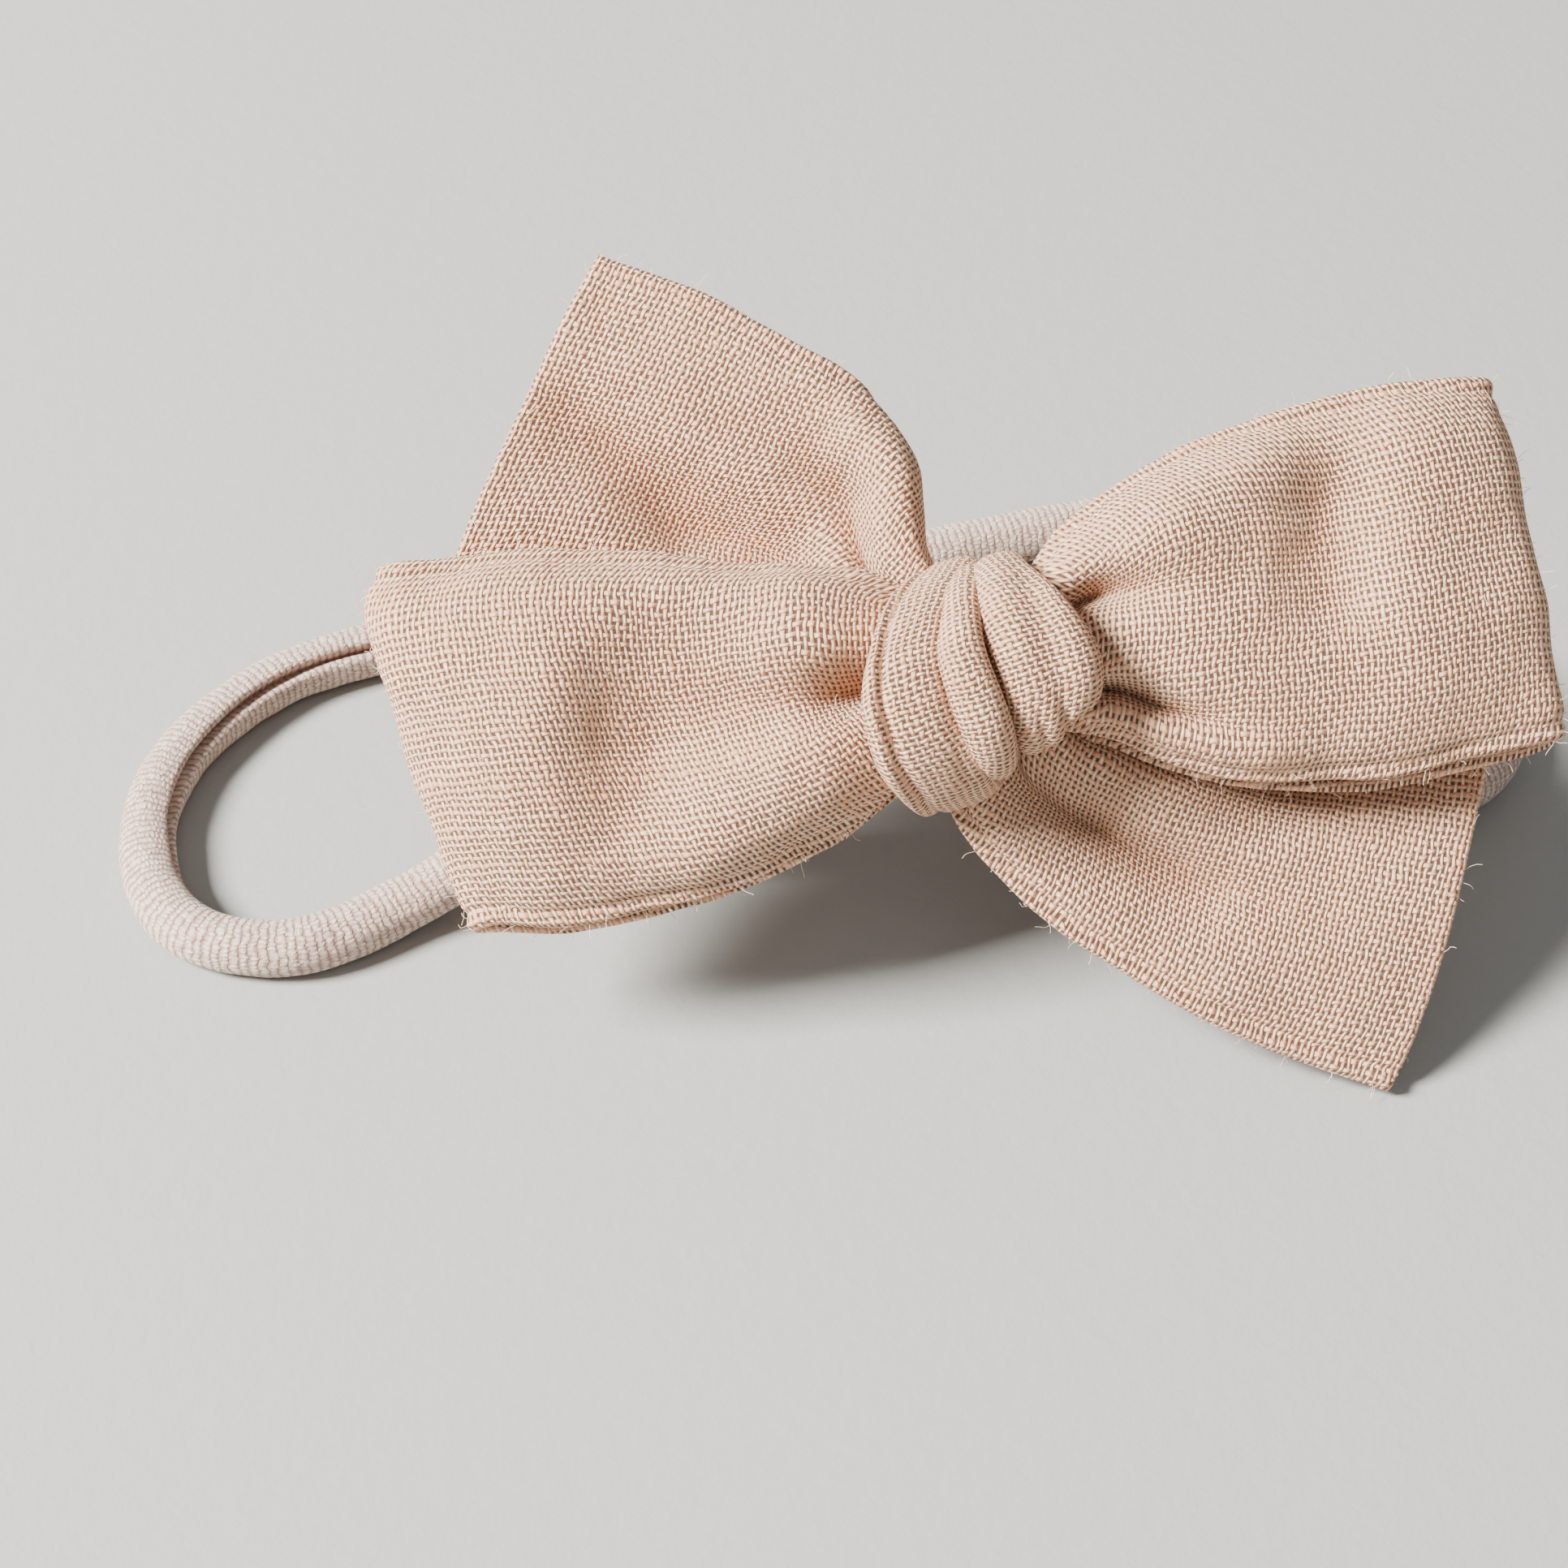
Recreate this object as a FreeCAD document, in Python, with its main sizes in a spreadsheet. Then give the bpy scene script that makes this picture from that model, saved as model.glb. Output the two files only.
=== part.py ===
import FreeCAD, Part
import Sketcher
import math
import os

# A hair band: one sewn linen strip, hand-tied into a bow with a knot, on a soft nylon ring.
# It stands as it is put down: the bow leans back, and the ring lies on the surface behind it.

os.makedirs("parts", exist_ok=True)
doc = FreeCAD.newDocument("KnottedHeadband")
Vec = FreeCAD.Vector

# Driving sizes, in millimetres and degrees.
SIZES = [
    ("lean_angle", 45.0, "how far the bow's plane leans back from upright"),
    ("strip_width", 33.0, "the sewn and turned linen strip, across"),
    ("fold_depth", 1.7, "one ply of the strip at a loop's fold"),
    ("tail_end_depth", 2.4, "a tail at its sewn end"),
    ("loop_reach", 49.5, "knot centre to a loop's fold"),
    ("tail_reach", 47.3, "knot centre to a tail's sewn end"),
    ("belly_reach", 29.0, "knot centre to where a lobe is fullest"),
    ("belly_width", 26.5, "a lobe across, there"),
    ("loop_ply_depth", 3.2, "one ply of a loop there, with its folds"),
    ("loop_opening", 4.6, "clear gap between a loop's plies there"),
    ("fold_opening", 0.3, "clear gap between a loop's plies at its ends"),
    ("tail_belly_depth", 4.6, "a tail where it is fullest, with its folds"),
    ("root_width", 13.0, "a gathered lobe where it leaves the knot"),
    ("loop_root_depth", 2.8, "one gathered ply of a loop there"),
    ("tail_root_depth", 3.4, "a gathered tail there"),
    ("root_gap", 1.4, "clear gap between a lobe's root and the knot"),
    ("loop_forward", 1.4, "loops stand this far in front of the bow's plane"),
    ("tail_behind", 8.8, "tails stand this far behind it where they are fullest"),
    ("tip_behind", 4.9, "a tail's sewn end stands this far behind it"),
    ("edge_bow", 1.07, "how far the lower tail's edge bows out below its tip"),
    ("roll_width", 4.6, "the rolled edge of the upper left tail, at the knot"),
    ("roll_end_width", 2.3, "the same, where it runs out"),
    ("roll_length", 17.0, "its length"),
    ("roll_shift", -6.6, "its middle, right of the knot's"),
    ("roll_angle", 93.0, "the way it points, round from the right"),
    ("core_radius", 5.4, "the squeezed strip inside the knot"),
    ("core_length", 15.0, "its length along the knot"),
    ("wrap_slope", 17.0, "the knot's own axis, above level on the right"),
    ("wrap_depth", 5.6, "how thick the knot's wraps are"),
    ("left_wrap_width", 8.4, "the wide left wrap"),
    ("middle_fold_width", 3.0, "the narrow fold beside it"),
    ("middle_fold_depth", 2.9, "its thickness, as it is tucked between the wraps"),
    ("right_wrap_width", 7.0, "the right wrap"),
    ("wrap_spacing", 0.2, "clear gap between neighbouring wraps"),
    ("wrap_sweep", 225.0, "how far round the core the wraps go"),
    ("tube_diameter", 5.5, "the nylon strip, curled into a tube"),
    ("tube_flat", 0.2, "how far its own weight flattens the tube underneath"),
    ("tube_clearance", 0.3, "between the band and what turns or slides beside it"),
    ("back_wrap_wall", 1.2, "the strip where it goes round the band"),
    ("back_wrap_rise", 3.0, "how much taller than deep the back wrap is"),
    ("back_wrap_length", 13.0, "its length along the band"),
    ("thread_diameter", 0.5, "sewing thread"),
    ("thread_bar", 4.0, "a tack stitch's length"),
    ("tack_pitch", 2.6, "from one tack stitch to the next"),
    ("seam_ridge", 0.45, "how far the band's joining seam stands proud"),
    ("seam_length", 3.2, "its length along the band"),
    ("band_width", 139.0, "the ring's route across, as it lies"),
    ("band_depth", 71.5, "the ring's route front to back, as it lies"),
]

# Each lobe points this many degrees round from the right, and its middle is off its own
# centre line by these distances at the knot, where it is fullest and at its end.
LOBES = {
    "lower_left_loop": (195.9, (-2.0, -4.6, -6.9)),
    "upper_right_loop": (12.0, (0.8, 1.0, 0.8)),
    "upper_left_tail": (155.4, (-5.0, -7.0, -5.0)),
    "lower_right_tail": (-17.5, (-8.5, -9.0, -7.4)),
}

sheet = doc.addObject("Spreadsheet::Sheet", "Sizes")
for row, (alias, value, note) in enumerate(SIZES, start=1):
    sheet.set("A%d" % row, alias)
    sheet.set("B%d" % row, str(value))
    sheet.set("C%d" % row, note)
    sheet.setAlias("B%d" % row, alias)
doc.recompute()


def size(alias):
    return float(sheet.get(alias))


tube_radius = size("tube_diameter") / 2
tunnel_radius = tube_radius + size("tube_clearance")
back_wrap_depth = 2 * (tunnel_radius + size("back_wrap_wall"))
band_behind = size("core_radius") + size("wrap_spacing") + back_wrap_depth / 2


def tip_drop():
    """How far below the knot, in the bow's plane, the lower right tail's corner is."""
    angle, shifts = LOBES["lower_right_tail"]
    turn = math.radians(angle)
    side = shifts[2] - size("strip_width") / 2
    return -size("tail_reach") * math.sin(turn) - side * math.cos(turn)


# The knot is as high as lets that corner rest on the surface. In the bow's plane x runs
# right, y up and z out of its face.
lean = math.radians(size("lean_angle"))
knot_height = (
    tip_drop() * math.cos(lean) + size("tip_behind") * math.sin(lean) + size("edge_bow")
)
bow_plane = FreeCAD.Placement(
    Vec(0, 0, knot_height), FreeCAD.Rotation(Vec(1, 0, 0), 90 - size("lean_angle"))
)


def in_bow(x, y, z, turn=0.0):
    """A placement in the bow's plane, turned about the plane's normal."""
    return bow_plane * FreeCAD.Placement(Vec(x, y, z), FreeCAD.Rotation(Vec(0, 0, 1), turn))


# Where each wrap is along the knot, from the width of what lies left of it.
knot_width = (
    size("left_wrap_width")
    + size("middle_fold_width")
    + size("right_wrap_width")
    + 2 * size("wrap_spacing")
)
left_wrap_at = (size("left_wrap_width") - knot_width) / 2
middle_fold_at = (
    left_wrap_at
    + (size("left_wrap_width") + size("middle_fold_width")) / 2
    + size("wrap_spacing")
)
right_wrap_at = (
    middle_fold_at
    + (size("middle_fold_width") + size("right_wrap_width")) / 2
    + size("wrap_spacing")
)
knot_radius = size("core_radius") + size("wrap_spacing") + size("wrap_depth")


def root_reach(angle):
    """Distance from the knot's centre at which a lobe at this angle clears the wraps."""
    turn = math.radians(angle - size("wrap_slope"))
    corner = size("wrap_depth") / 2
    along = (knot_width / 2 - corner) * abs(math.cos(turn))
    across = (knot_radius - corner) * abs(math.sin(turn))
    return along + across + corner + size("root_gap")


subparts = []


def origin_item(body, role):
    return next(item for item in body.Origin.OriginFeatures if item.Role == role)


def new_body(label, placement):
    body = doc.addObject("PartDesign::Body", label)
    body.Label = label
    body.Placement = placement
    subparts.append(body)
    return body


def plain_sketch(body, name, plane, offset):
    """An empty sketch on one of the body's own planes. offset holds three expressions."""
    sketch = body.newObject("Sketcher::SketchObject", name)
    sketch.AttachmentSupport = [(origin_item(body, plane), "")]
    sketch.MapMode = "FlatFace"
    for axis, expression in zip("xyz", offset):
        sketch.setExpression("AttachmentOffset.Base." + axis, expression)
    return sketch


def slot_sketch(body, name, plane, width, depth, offset):
    """A round-ended slot on the sketch's centre. width, depth and offset are expressions."""
    sketch = plain_sketch(body, name, plane, offset)
    radius = float(sketch.evalExpression(depth)) / 2
    half = float(sketch.evalExpression(width)) / 2 - radius
    up, quarter = Vec(0, 0, 1), math.pi / 2
    left = Part.Circle(Vec(-half, 0, 0), up, radius)
    right = Part.Circle(Vec(half, 0, 0), up, radius)
    sketch.addGeometry(Part.LineSegment(Vec(half, radius, 0), Vec(-half, radius, 0)))
    sketch.addGeometry(Part.ArcOfCircle(left, quarter, 3 * quarter))
    sketch.addGeometry(Part.LineSegment(Vec(-half, -radius, 0), Vec(half, -radius, 0)))
    sketch.addGeometry(Part.ArcOfCircle(right, -quarter, quarter))
    for first, second in ((0, 1), (1, 2), (2, 3), (3, 0)):
        sketch.addConstraint(Sketcher.Constraint("Tangent", first, 2, second, 1))
    sketch.addConstraint(Sketcher.Constraint("Symmetric", 1, 3, 3, 3, -1, 1))
    sketch.addConstraint(Sketcher.Constraint("Horizontal", 0))
    rounding = sketch.addConstraint(Sketcher.Constraint("Radius", 1, radius))
    sketch.renameConstraint(rounding, "rounding")
    spread = sketch.addConstraint(Sketcher.Constraint("DistanceX", 1, 3, 3, 3, 2 * half))
    sketch.renameConstraint(spread, "spread")
    sketch.setExpression("Constraints.rounding", "(%s) / 2" % depth)
    sketch.setExpression("Constraints.spread", "(%s) - (%s)" % (width, depth))
    return sketch


def lobe(label, placement, sections):
    """A closed loft through slots across a lobe. A section is (reach, shift, lift, width, depth)."""
    body = new_body(label, placement)
    rings = []
    for number, (reach, shift, lift, width, depth) in enumerate(sections):
        name = "%s_section_%d" % (label, number)
        rings.append(slot_sketch(body, name, "YZ_Plane", width, depth, (shift, lift, reach)))
    loft = body.newObject("PartDesign::AdditiveLoft", label + "_loft")
    loft.Profile = rings[0]
    loft.Sections = rings[1:]
    return body


def loop(side):
    """Both plies of a loop: the strip on its way out to the fold, and on its way back."""
    angle, shifts = LOBES[side]
    widths = ("Sizes.root_width", "Sizes.belly_width", "Sizes.strip_width")
    depths = ("Sizes.loop_root_depth", "Sizes.loop_ply_depth", "Sizes.fold_depth")
    gaps = ("Sizes.fold_opening", "Sizes.loop_opening", "Sizes.fold_opening")
    reaches = ("%f" % root_reach(angle), "Sizes.belly_reach", "Sizes.loop_reach")
    for ply, sign in (("front_ply", "+"), ("back_ply", "-")):
        sections = []
        for reach, shift, width, depth, gap in zip(reaches, shifts, widths, depths, gaps):
            lift = "Sizes.loop_forward %s (%s + %s) / 2" % (sign, depth, gap)
            sections.append((reach, "%f" % shift, lift, width, depth))
        lobe("%s_%s" % (side, ply), in_bow(0, 0, 0, angle), sections)


def tail(side):
    """The strip's end, from where it leaves the knot behind the loops to its sewn edge."""
    angle, shifts = LOBES[side]
    widths = ("Sizes.root_width", "Sizes.belly_width", "Sizes.strip_width")
    depths = ("Sizes.tail_root_depth", "Sizes.tail_belly_depth", "Sizes.tail_end_depth")
    lifts = ("-Sizes.tip_behind", "-Sizes.tail_behind", "-Sizes.tip_behind")
    reaches = ("%f" % root_reach(angle), "Sizes.belly_reach", "Sizes.tail_reach")
    sections = []
    for reach, shift, lift, width, depth in zip(reaches, shifts, lifts, widths, depths):
        sections.append((reach, "%f" % shift, lift, width, depth))
    lobe(side, in_bow(0, 0, 0, angle), sections)


roll_flat = 0.98  # a roll's depth over its width, so that its slots stay slots


def rolled_edge():
    """The upper left tail's right edge, which rolls forward as it comes out of the knot."""
    clear = "Sizes.tail_root_depth / 2 - Sizes.tip_behind + Sizes.wrap_spacing"
    sections = []
    for share, width in ((0, "Sizes.roll_width"), (1, "Sizes.roll_end_width")):
        reach = "%f + Sizes.roll_length * %d" % (knot_radius + size("root_gap"), share)
        depth = "%s * %f" % (width, roll_flat)
        sections.append((reach, "0", "%s + %s / 2" % (clear, width), width, depth))
    place = in_bow(size("roll_shift"), 0, 0, size("roll_angle"))
    lobe("upper_left_tail_rolled_edge", place, sections)


def wrap(label, along, width, depth):
    """A flattened part ring round the core, open towards the band."""
    body = new_body(label, in_bow(0, 0, 0, size("wrap_slope")))
    out = "Sizes.core_radius + Sizes.wrap_spacing + %s / 2" % depth
    place = ("%f" % along, out, "0")
    section = slot_sketch(body, label + "_section", "XZ_Plane", width, depth, place)
    turned = body.newObject("PartDesign::Revolution", label + "_turned")
    turned.Profile = section
    turned.ReferenceAxis = (origin_item(body, "X_Axis"), [""])
    turned.Midplane = True
    turned.setExpression("Angle", "Sizes.wrap_sweep")


def core():
    """The strip squeezed inside the knot."""
    item = doc.addObject("Part::Cylinder", "knot_core")
    item.Label = "knot_core"
    item.setExpression("Radius", "Sizes.core_radius")
    item.setExpression("Height", "Sizes.core_length")
    level = FreeCAD.Placement(
        Vec(-size("core_length") / 2, 0, 0), FreeCAD.Rotation(Vec(0, 1, 0), 90)
    )
    item.Placement = in_bow(0, 0, 0, size("wrap_slope")) * level
    subparts.append(item)


solid_share = 0.9  # more than this left of the back wrap means that the tunnel missed it


def back_wrap():
    """The strip's turn round the band, with a tunnel that lets the band turn a little."""
    body = new_body("knot_back_wrap", in_bow(0, 0, -band_behind))
    depth = "2 * (Sizes.tube_diameter / 2 + Sizes.tube_clearance + Sizes.back_wrap_wall)"
    width = depth + " + Sizes.back_wrap_rise"
    outline = slot_sketch(body, "back_wrap_outline", "YZ_Plane", width, depth, ("0", "0", "0"))
    pad = body.newObject("PartDesign::Pad", "back_wrap_pad")
    pad.Profile = outline
    pad.Midplane = True
    pad.setExpression("Length", "Sizes.back_wrap_length")
    doc.recompute()
    whole = body.Shape.Volume
    tunnel = plain_sketch(body, "back_wrap_tunnel", "YZ_Plane", ("0", "0", "0"))
    tunnel.addGeometry(Part.Circle(Vec(0, 0, 0), Vec(0, 0, 1), tunnel_radius))
    tunnel.addConstraint(Sketcher.Constraint("Coincident", 0, 3, -1, 1))
    radius = tunnel.addConstraint(Sketcher.Constraint("Radius", 0, tunnel_radius))
    tunnel.renameConstraint(radius, "radius")
    tunnel.setExpression("Constraints.radius", "Sizes.tube_diameter / 2 + Sizes.tube_clearance")
    pocket = body.newObject("PartDesign::Pocket", "back_wrap_pocket")
    pocket.Profile = tunnel
    pocket.Midplane = True
    pocket.setExpression("Length", "Sizes.back_wrap_length * 2")
    doc.recompute()
    if body.Shape.Volume > solid_share * whole:
        raise RuntimeError("the tunnel cut nothing")


def feature(label, shape):
    item = doc.addObject("Part::Feature", label)
    item.Label = label
    item.Shape = shape
    subparts.append(item)
    return item


def tack_stitches():
    """Three thread bars sewn through the back wrap, half sunk in it."""
    radius, bar = size("thread_diameter") / 2, size("thread_bar")
    bars = []
    for step in (-1, 0, 1):
        start = Vec(step * size("tack_pitch"), -bar / 2, 0)
        bars.append(Part.makeCylinder(radius, bar, start, Vec(0, 1, 0)))
    item = feature("tack_stitches", Part.makeCompound(bars))
    item.Placement = in_bow(0, 0, -band_behind - back_wrap_depth / 2)


# The ring's route as it lies, from the knot round by the left. Across is a share of the
# band's width and back a share of its depth, both from the knot; up is a share of the height
# at which the band goes through the knot.
ROUTE = {
    "front": [(-0.105, 0.0, 1.0), (-0.200, -0.008, 0.78), (-0.295, -0.035, 0.28)],
    "left": [(-0.385, -0.135, 0.0), (-0.475, -0.250, 0.0), (-0.575, -0.190, 0.0),
             (-0.600, 0.060, 0.0), (-0.530, 0.290, 0.0)],
    "back": [(-0.410, 0.405, 0.0), (-0.200, 0.480, 0.0), (0.030, 0.635, 0.0)],
    "right": [(0.240, 0.740, 0.0), (0.370, 0.640, 0.0), (0.410, 0.390, 0.0),
              (0.400, 0.160, 0.0)],
    "return": [(0.330, 0.040, 0.10), (0.225, 0.0, 0.60), (0.105, 0.0, 1.0)],
}
through = bow_plane.multVec(Vec(0, 0, -band_behind))
floor_level = tube_radius - size("tube_flat")


def route_points():
    points = []
    for stretch in ROUTE.values():
        for across, back, up in stretch:
            points.append(Vec(
                across * size("band_width"),
                through.y + back * size("band_depth"),
                floor_level + up * (through.z - floor_level),
            ))
    return points


arc_share = 0.45  # how much of the shorter run beside a corner its arc takes
section_slack = 0.02  # a swept tube's volume may be off by this share


def rounded_route(points):
    """Straight runs joined by tangent arcs round a closed route, as one list of edges for
    each point: the arc at it and the run that follows."""
    count = len(points)
    corners = []
    for i, point in enumerate(points):
        before, after = points[i - 1] - point, points[(i + 1) % count] - point
        cut = arc_share * min(before.Length, after.Length)
        start = point + before.normalize() * cut
        end = point + after.normalize() * cut
        turn = math.pi - start.sub(point).getAngle(end.sub(point))
        radius = cut / math.tan(turn / 2)
        middle = (start + end) * 0.5 - point
        hub = point + middle.normalize() * math.hypot(cut, radius)
        corners.append((start, hub + (point - hub).normalize() * radius, end, radius))
    pieces = []
    for i, (start, top, end, radius) in enumerate(corners):
        follows = corners[(i + 1) % count][0]
        arc = Part.Arc(start, top, end).toShape()
        pieces.append([arc, Part.LineSegment(end, follows).toShape()])
    return pieces, [corner[3] for corner in corners]


def tube(edges):
    """The curled strip along some edges, flattened where it lies on the surface."""
    wire = Part.Wire(edges)
    first = edges[0]
    along = first.tangentAt(first.FirstParameter)
    ring = Part.Wire(Part.makeCircle(tube_radius, first.valueAt(first.FirstParameter), along))
    swept = wire.makePipeShell([ring], True, True)
    nominal = math.pi * tube_radius**2 * wire.Length
    if abs(swept.Volume - nominal) > section_slack * nominal:
        raise RuntimeError("the tube lost its section")
    wide = 4 * size("band_width")
    under = Part.makeBox(wide, wide, wide, Vec(-wide / 2, -wide / 2, -wide))
    return swept.cut(under).removeSplitter()


def half(edge, last):
    """The first or last half of a straight run, less the clearance at the cut."""
    start = edge.valueAt(edge.FirstParameter)
    end = edge.valueAt(edge.LastParameter)
    middle = (start + end) * 0.5
    step = (end - start).normalize() * (size("tube_clearance") / 2)
    if last:
        return Part.LineSegment(middle + step, end).toShape()
    return Part.LineSegment(start, middle - step).toShape()


def band():
    """The ring in four lengths: under the knot, the left bend, the back and the right bend."""
    points = route_points()
    pieces, radii = rounded_route(points)
    print("bend radii", " ".join("%.1f" % r for r in radii))
    print("ring length %.1f" % sum(edge.Length for piece in pieces for edge in piece))
    names = list(ROUTE)
    ends, total = {}, 0
    for name in names:
        total += len(ROUTE[name])
        ends[name] = total - 1
    count = len(points)
    lengths = (
        ("band_front_run", ends["right"], ends["front"]),
        ("band_left_bend", ends["front"], ends["left"]),
        ("band_back_run", ends["left"], ends["back"]),
        ("band_right_bend", ends["back"], ends["right"]),
    )
    for label, before, last in lengths:
        edges = [half(pieces[before][1], True)]
        i = (before + 1) % count
        while i != last:
            edges += pieces[i]
            i = (i + 1) % count
        edges += [pieces[last][0], half(pieces[last][1], False)]
        feature(label, tube(edges))
    seam_run = pieces[ends["back"] - 1][1]
    band_seam(seam_run)


def band_seam(run):
    """The raised seam where the strip's two ends are joined into a ring."""
    start = run.valueAt(run.FirstParameter)
    end = run.valueAt(run.LastParameter)
    along = (end - start).normalize()
    long = size("seam_length")
    foot = (start + end) * 0.5 - along * (long / 2)
    sleeve = Part.makeCylinder(tube_radius + size("seam_ridge"), long, foot, along)
    bore = Part.makeCylinder(tube_radius, long, foot, along)
    wide = size("band_width")
    under = Part.makeBox(wide, wide, wide, Vec(-wide / 2, 0, -wide))
    feature("band_joining_seam", sleeve.cut(bore).cut(under))


def stand_on_origin():
    """Puts the origin under the middle of the whole, on the surface that it stands on."""
    doc.recompute()
    whole = FreeCAD.BoundBox()
    for item in subparts:
        whole.add(item.Shape.optimalBoundingBox(False, False))
    shift = Vec(-whole.Center.x, -whole.Center.y, -whole.ZMin)
    for item in subparts:
        moved = FreeCAD.Placement(item.Placement)
        moved.Base = moved.Base + shift
        item.Placement = moved
    print("shift %.3f %.3f %.3f" % tuple(shift))
    return shift


def print_joints(shift):
    """Where each lobe's root bends, in millimetres, with the axis that turns it forward."""
    for side, (angle, shifts) in LOBES.items():
        place = in_bow(0, 0, 0, angle)
        lift = size("loop_forward") if side.endswith("loop") else -size("tip_behind")
        root = place.multVec(Vec(root_reach(angle), shifts[0], lift)) + shift
        axis = place.Rotation.multVec(Vec(0, -1, 0))
        print("joint %s %.3f %.3f %.3f  %.5f %.5f %.5f" % ((side,) + tuple(root) + tuple(axis)))
    print("joint band %.3f %.3f %.3f" % tuple(through + shift))


def check_and_export():
    for item in doc.Objects:
        if "Invalid" in item.State or "Error" in item.State:
            raise RuntimeError("%s failed: %s" % (item.Label, item.State))
    for item in subparts:
        if item.Shape.isNull() or not item.Shape.isValid():
            raise RuntimeError("%s has a bad shape" % item.Label)
    for item in subparts:
        item.Shape.exportStep("parts/%s.step" % item.Label)


loop("lower_left_loop")
loop("upper_right_loop")
tail("upper_left_tail")
tail("lower_right_tail")
rolled_edge()
core()
wrap("knot_left_wrap", left_wrap_at, "Sizes.left_wrap_width", "Sizes.wrap_depth")
wrap("knot_middle_fold", middle_fold_at, "Sizes.middle_fold_width", "Sizes.middle_fold_depth")
wrap("knot_right_wrap", right_wrap_at, "Sizes.right_wrap_width", "Sizes.wrap_depth")
back_wrap()
tack_stitches()
band()
print_joints(stand_on_origin())
doc.recompute()
check_and_export()
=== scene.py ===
import math

import bmesh
import bpy
import numpy as np
from mathutils import Matrix, Vector, noise


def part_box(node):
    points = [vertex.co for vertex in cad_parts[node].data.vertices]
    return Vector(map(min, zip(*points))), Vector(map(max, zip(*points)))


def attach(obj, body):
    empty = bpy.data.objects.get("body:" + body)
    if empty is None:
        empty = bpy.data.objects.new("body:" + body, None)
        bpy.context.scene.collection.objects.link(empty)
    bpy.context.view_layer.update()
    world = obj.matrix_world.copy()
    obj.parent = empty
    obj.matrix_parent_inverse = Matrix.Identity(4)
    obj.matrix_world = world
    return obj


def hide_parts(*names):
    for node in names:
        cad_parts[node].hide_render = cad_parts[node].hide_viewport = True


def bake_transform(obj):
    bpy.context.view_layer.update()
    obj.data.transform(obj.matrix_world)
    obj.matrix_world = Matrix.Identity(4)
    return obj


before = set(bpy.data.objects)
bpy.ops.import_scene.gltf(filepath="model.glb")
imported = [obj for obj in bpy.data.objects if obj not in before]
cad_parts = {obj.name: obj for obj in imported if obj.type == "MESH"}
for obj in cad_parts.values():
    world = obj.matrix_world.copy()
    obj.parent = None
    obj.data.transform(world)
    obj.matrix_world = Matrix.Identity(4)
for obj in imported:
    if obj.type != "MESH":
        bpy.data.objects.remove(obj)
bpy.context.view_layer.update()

# A knotted linen headband: two loops, two tails and a knot of one sewn strip, tied round a
# curled nylon band. Bow points are in millimetres in the bow's own plane: right, up and out
# of its face, from the middle of the knot.

mm = 0.001
bowLean = math.radians(45)
knotLow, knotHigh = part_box("knot_core")
knotCentre = (np.array(knotLow) + np.array(knotHigh)) / 2
bowRight = np.array([1.0, 0.0, 0.0])
bowUp = np.array([0.0, math.sin(bowLean), math.cos(bowLean)])
bowOut = np.array([0.0, -math.cos(bowLean), math.sin(bowLean)])
knotSlope = math.radians(17)
settling = 4e-8  # how gently a surface flattens on the table, in square metres


def inMetres(points):
    flat = np.asarray(points, float) * mm
    return knotCentre + flat[..., :1] * bowRight + flat[..., 1:2] * bowUp + flat[..., 2:] * bowOut


def throughPoints(points, at):
    # a smooth curve through the rows of points, sampled at places counted in rows
    points, at = np.asarray(points, float), np.asarray(at, float)
    before, after = 2 * points[:1] - points[1:2], 2 * points[-1:] - points[-2:-1]
    rows = np.concatenate([before, points, after])
    whole = np.clip(np.floor(at).astype(int), 0, len(points) - 2)
    t = (at - whole).reshape((-1,) + (1,) * (points.ndim - 1))
    a, b, c, d = (rows[whole + k] for k in range(4))
    return 0.5 * (2 * b + (c - a) * t + (2 * a - 5 * b + 4 * c - d) * t**2
                  + (3 * b - a - 3 * c + d) * t**3)


def lengthsAlong(points, axis):
    steps = np.linalg.norm(np.diff(points, axis=axis), axis=-1)
    start = np.zeros_like(np.take(steps, [0], axis=axis))
    return np.concatenate([start, np.cumsum(steps, axis=axis)], axis=axis)


def evened(points, shares):
    # each row of points again, at the given shares of its own length
    out = np.empty((points.shape[0], len(shares), 3))
    lengths = lengthsAlong(points, 1)
    for i, row in enumerate(points):
        want = np.asarray(shares) * lengths[i, -1]
        for k in range(3):
            out[i, :, k] = np.interp(want, lengths[i], row[:, k])
    return out


def edgeRounding(distance, reach):
    # 0 at a turned edge, rising to 1 like a quarter circle
    x = np.clip(distance / reach, 0, 1)
    return np.sqrt(np.clip(1 - (1 - x) ** 2, 0, 1))


def bellAt(distance, middle, width):
    # 1 at the middle, fading to nothing a width or two away
    return np.exp(-(((distance - middle) / width) ** 2))


def withReturn(front, back):
    # rows over the front of a flat shape and home again over its back
    return np.concatenate([front, back[:, -2:0:-1]], axis=1)


def tubeFaces(rings, around):
    # squares between rings of points, closed round each ring
    faces = []
    for i in range(rings - 1):
        for j in range(around):
            k = (j + 1) % around
            faces.append((i * around + j, i * around + k, (i + 1) * around + k, (i + 1) * around + j))
    return faces


def turnedByKnot(along, high):
    # places along the knot and above it, as the bow's right and up
    across = along * math.cos(knotSlope) - high * math.sin(knotSlope)
    return across, along * math.sin(knotSlope) + high * math.cos(knotSlope)


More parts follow.
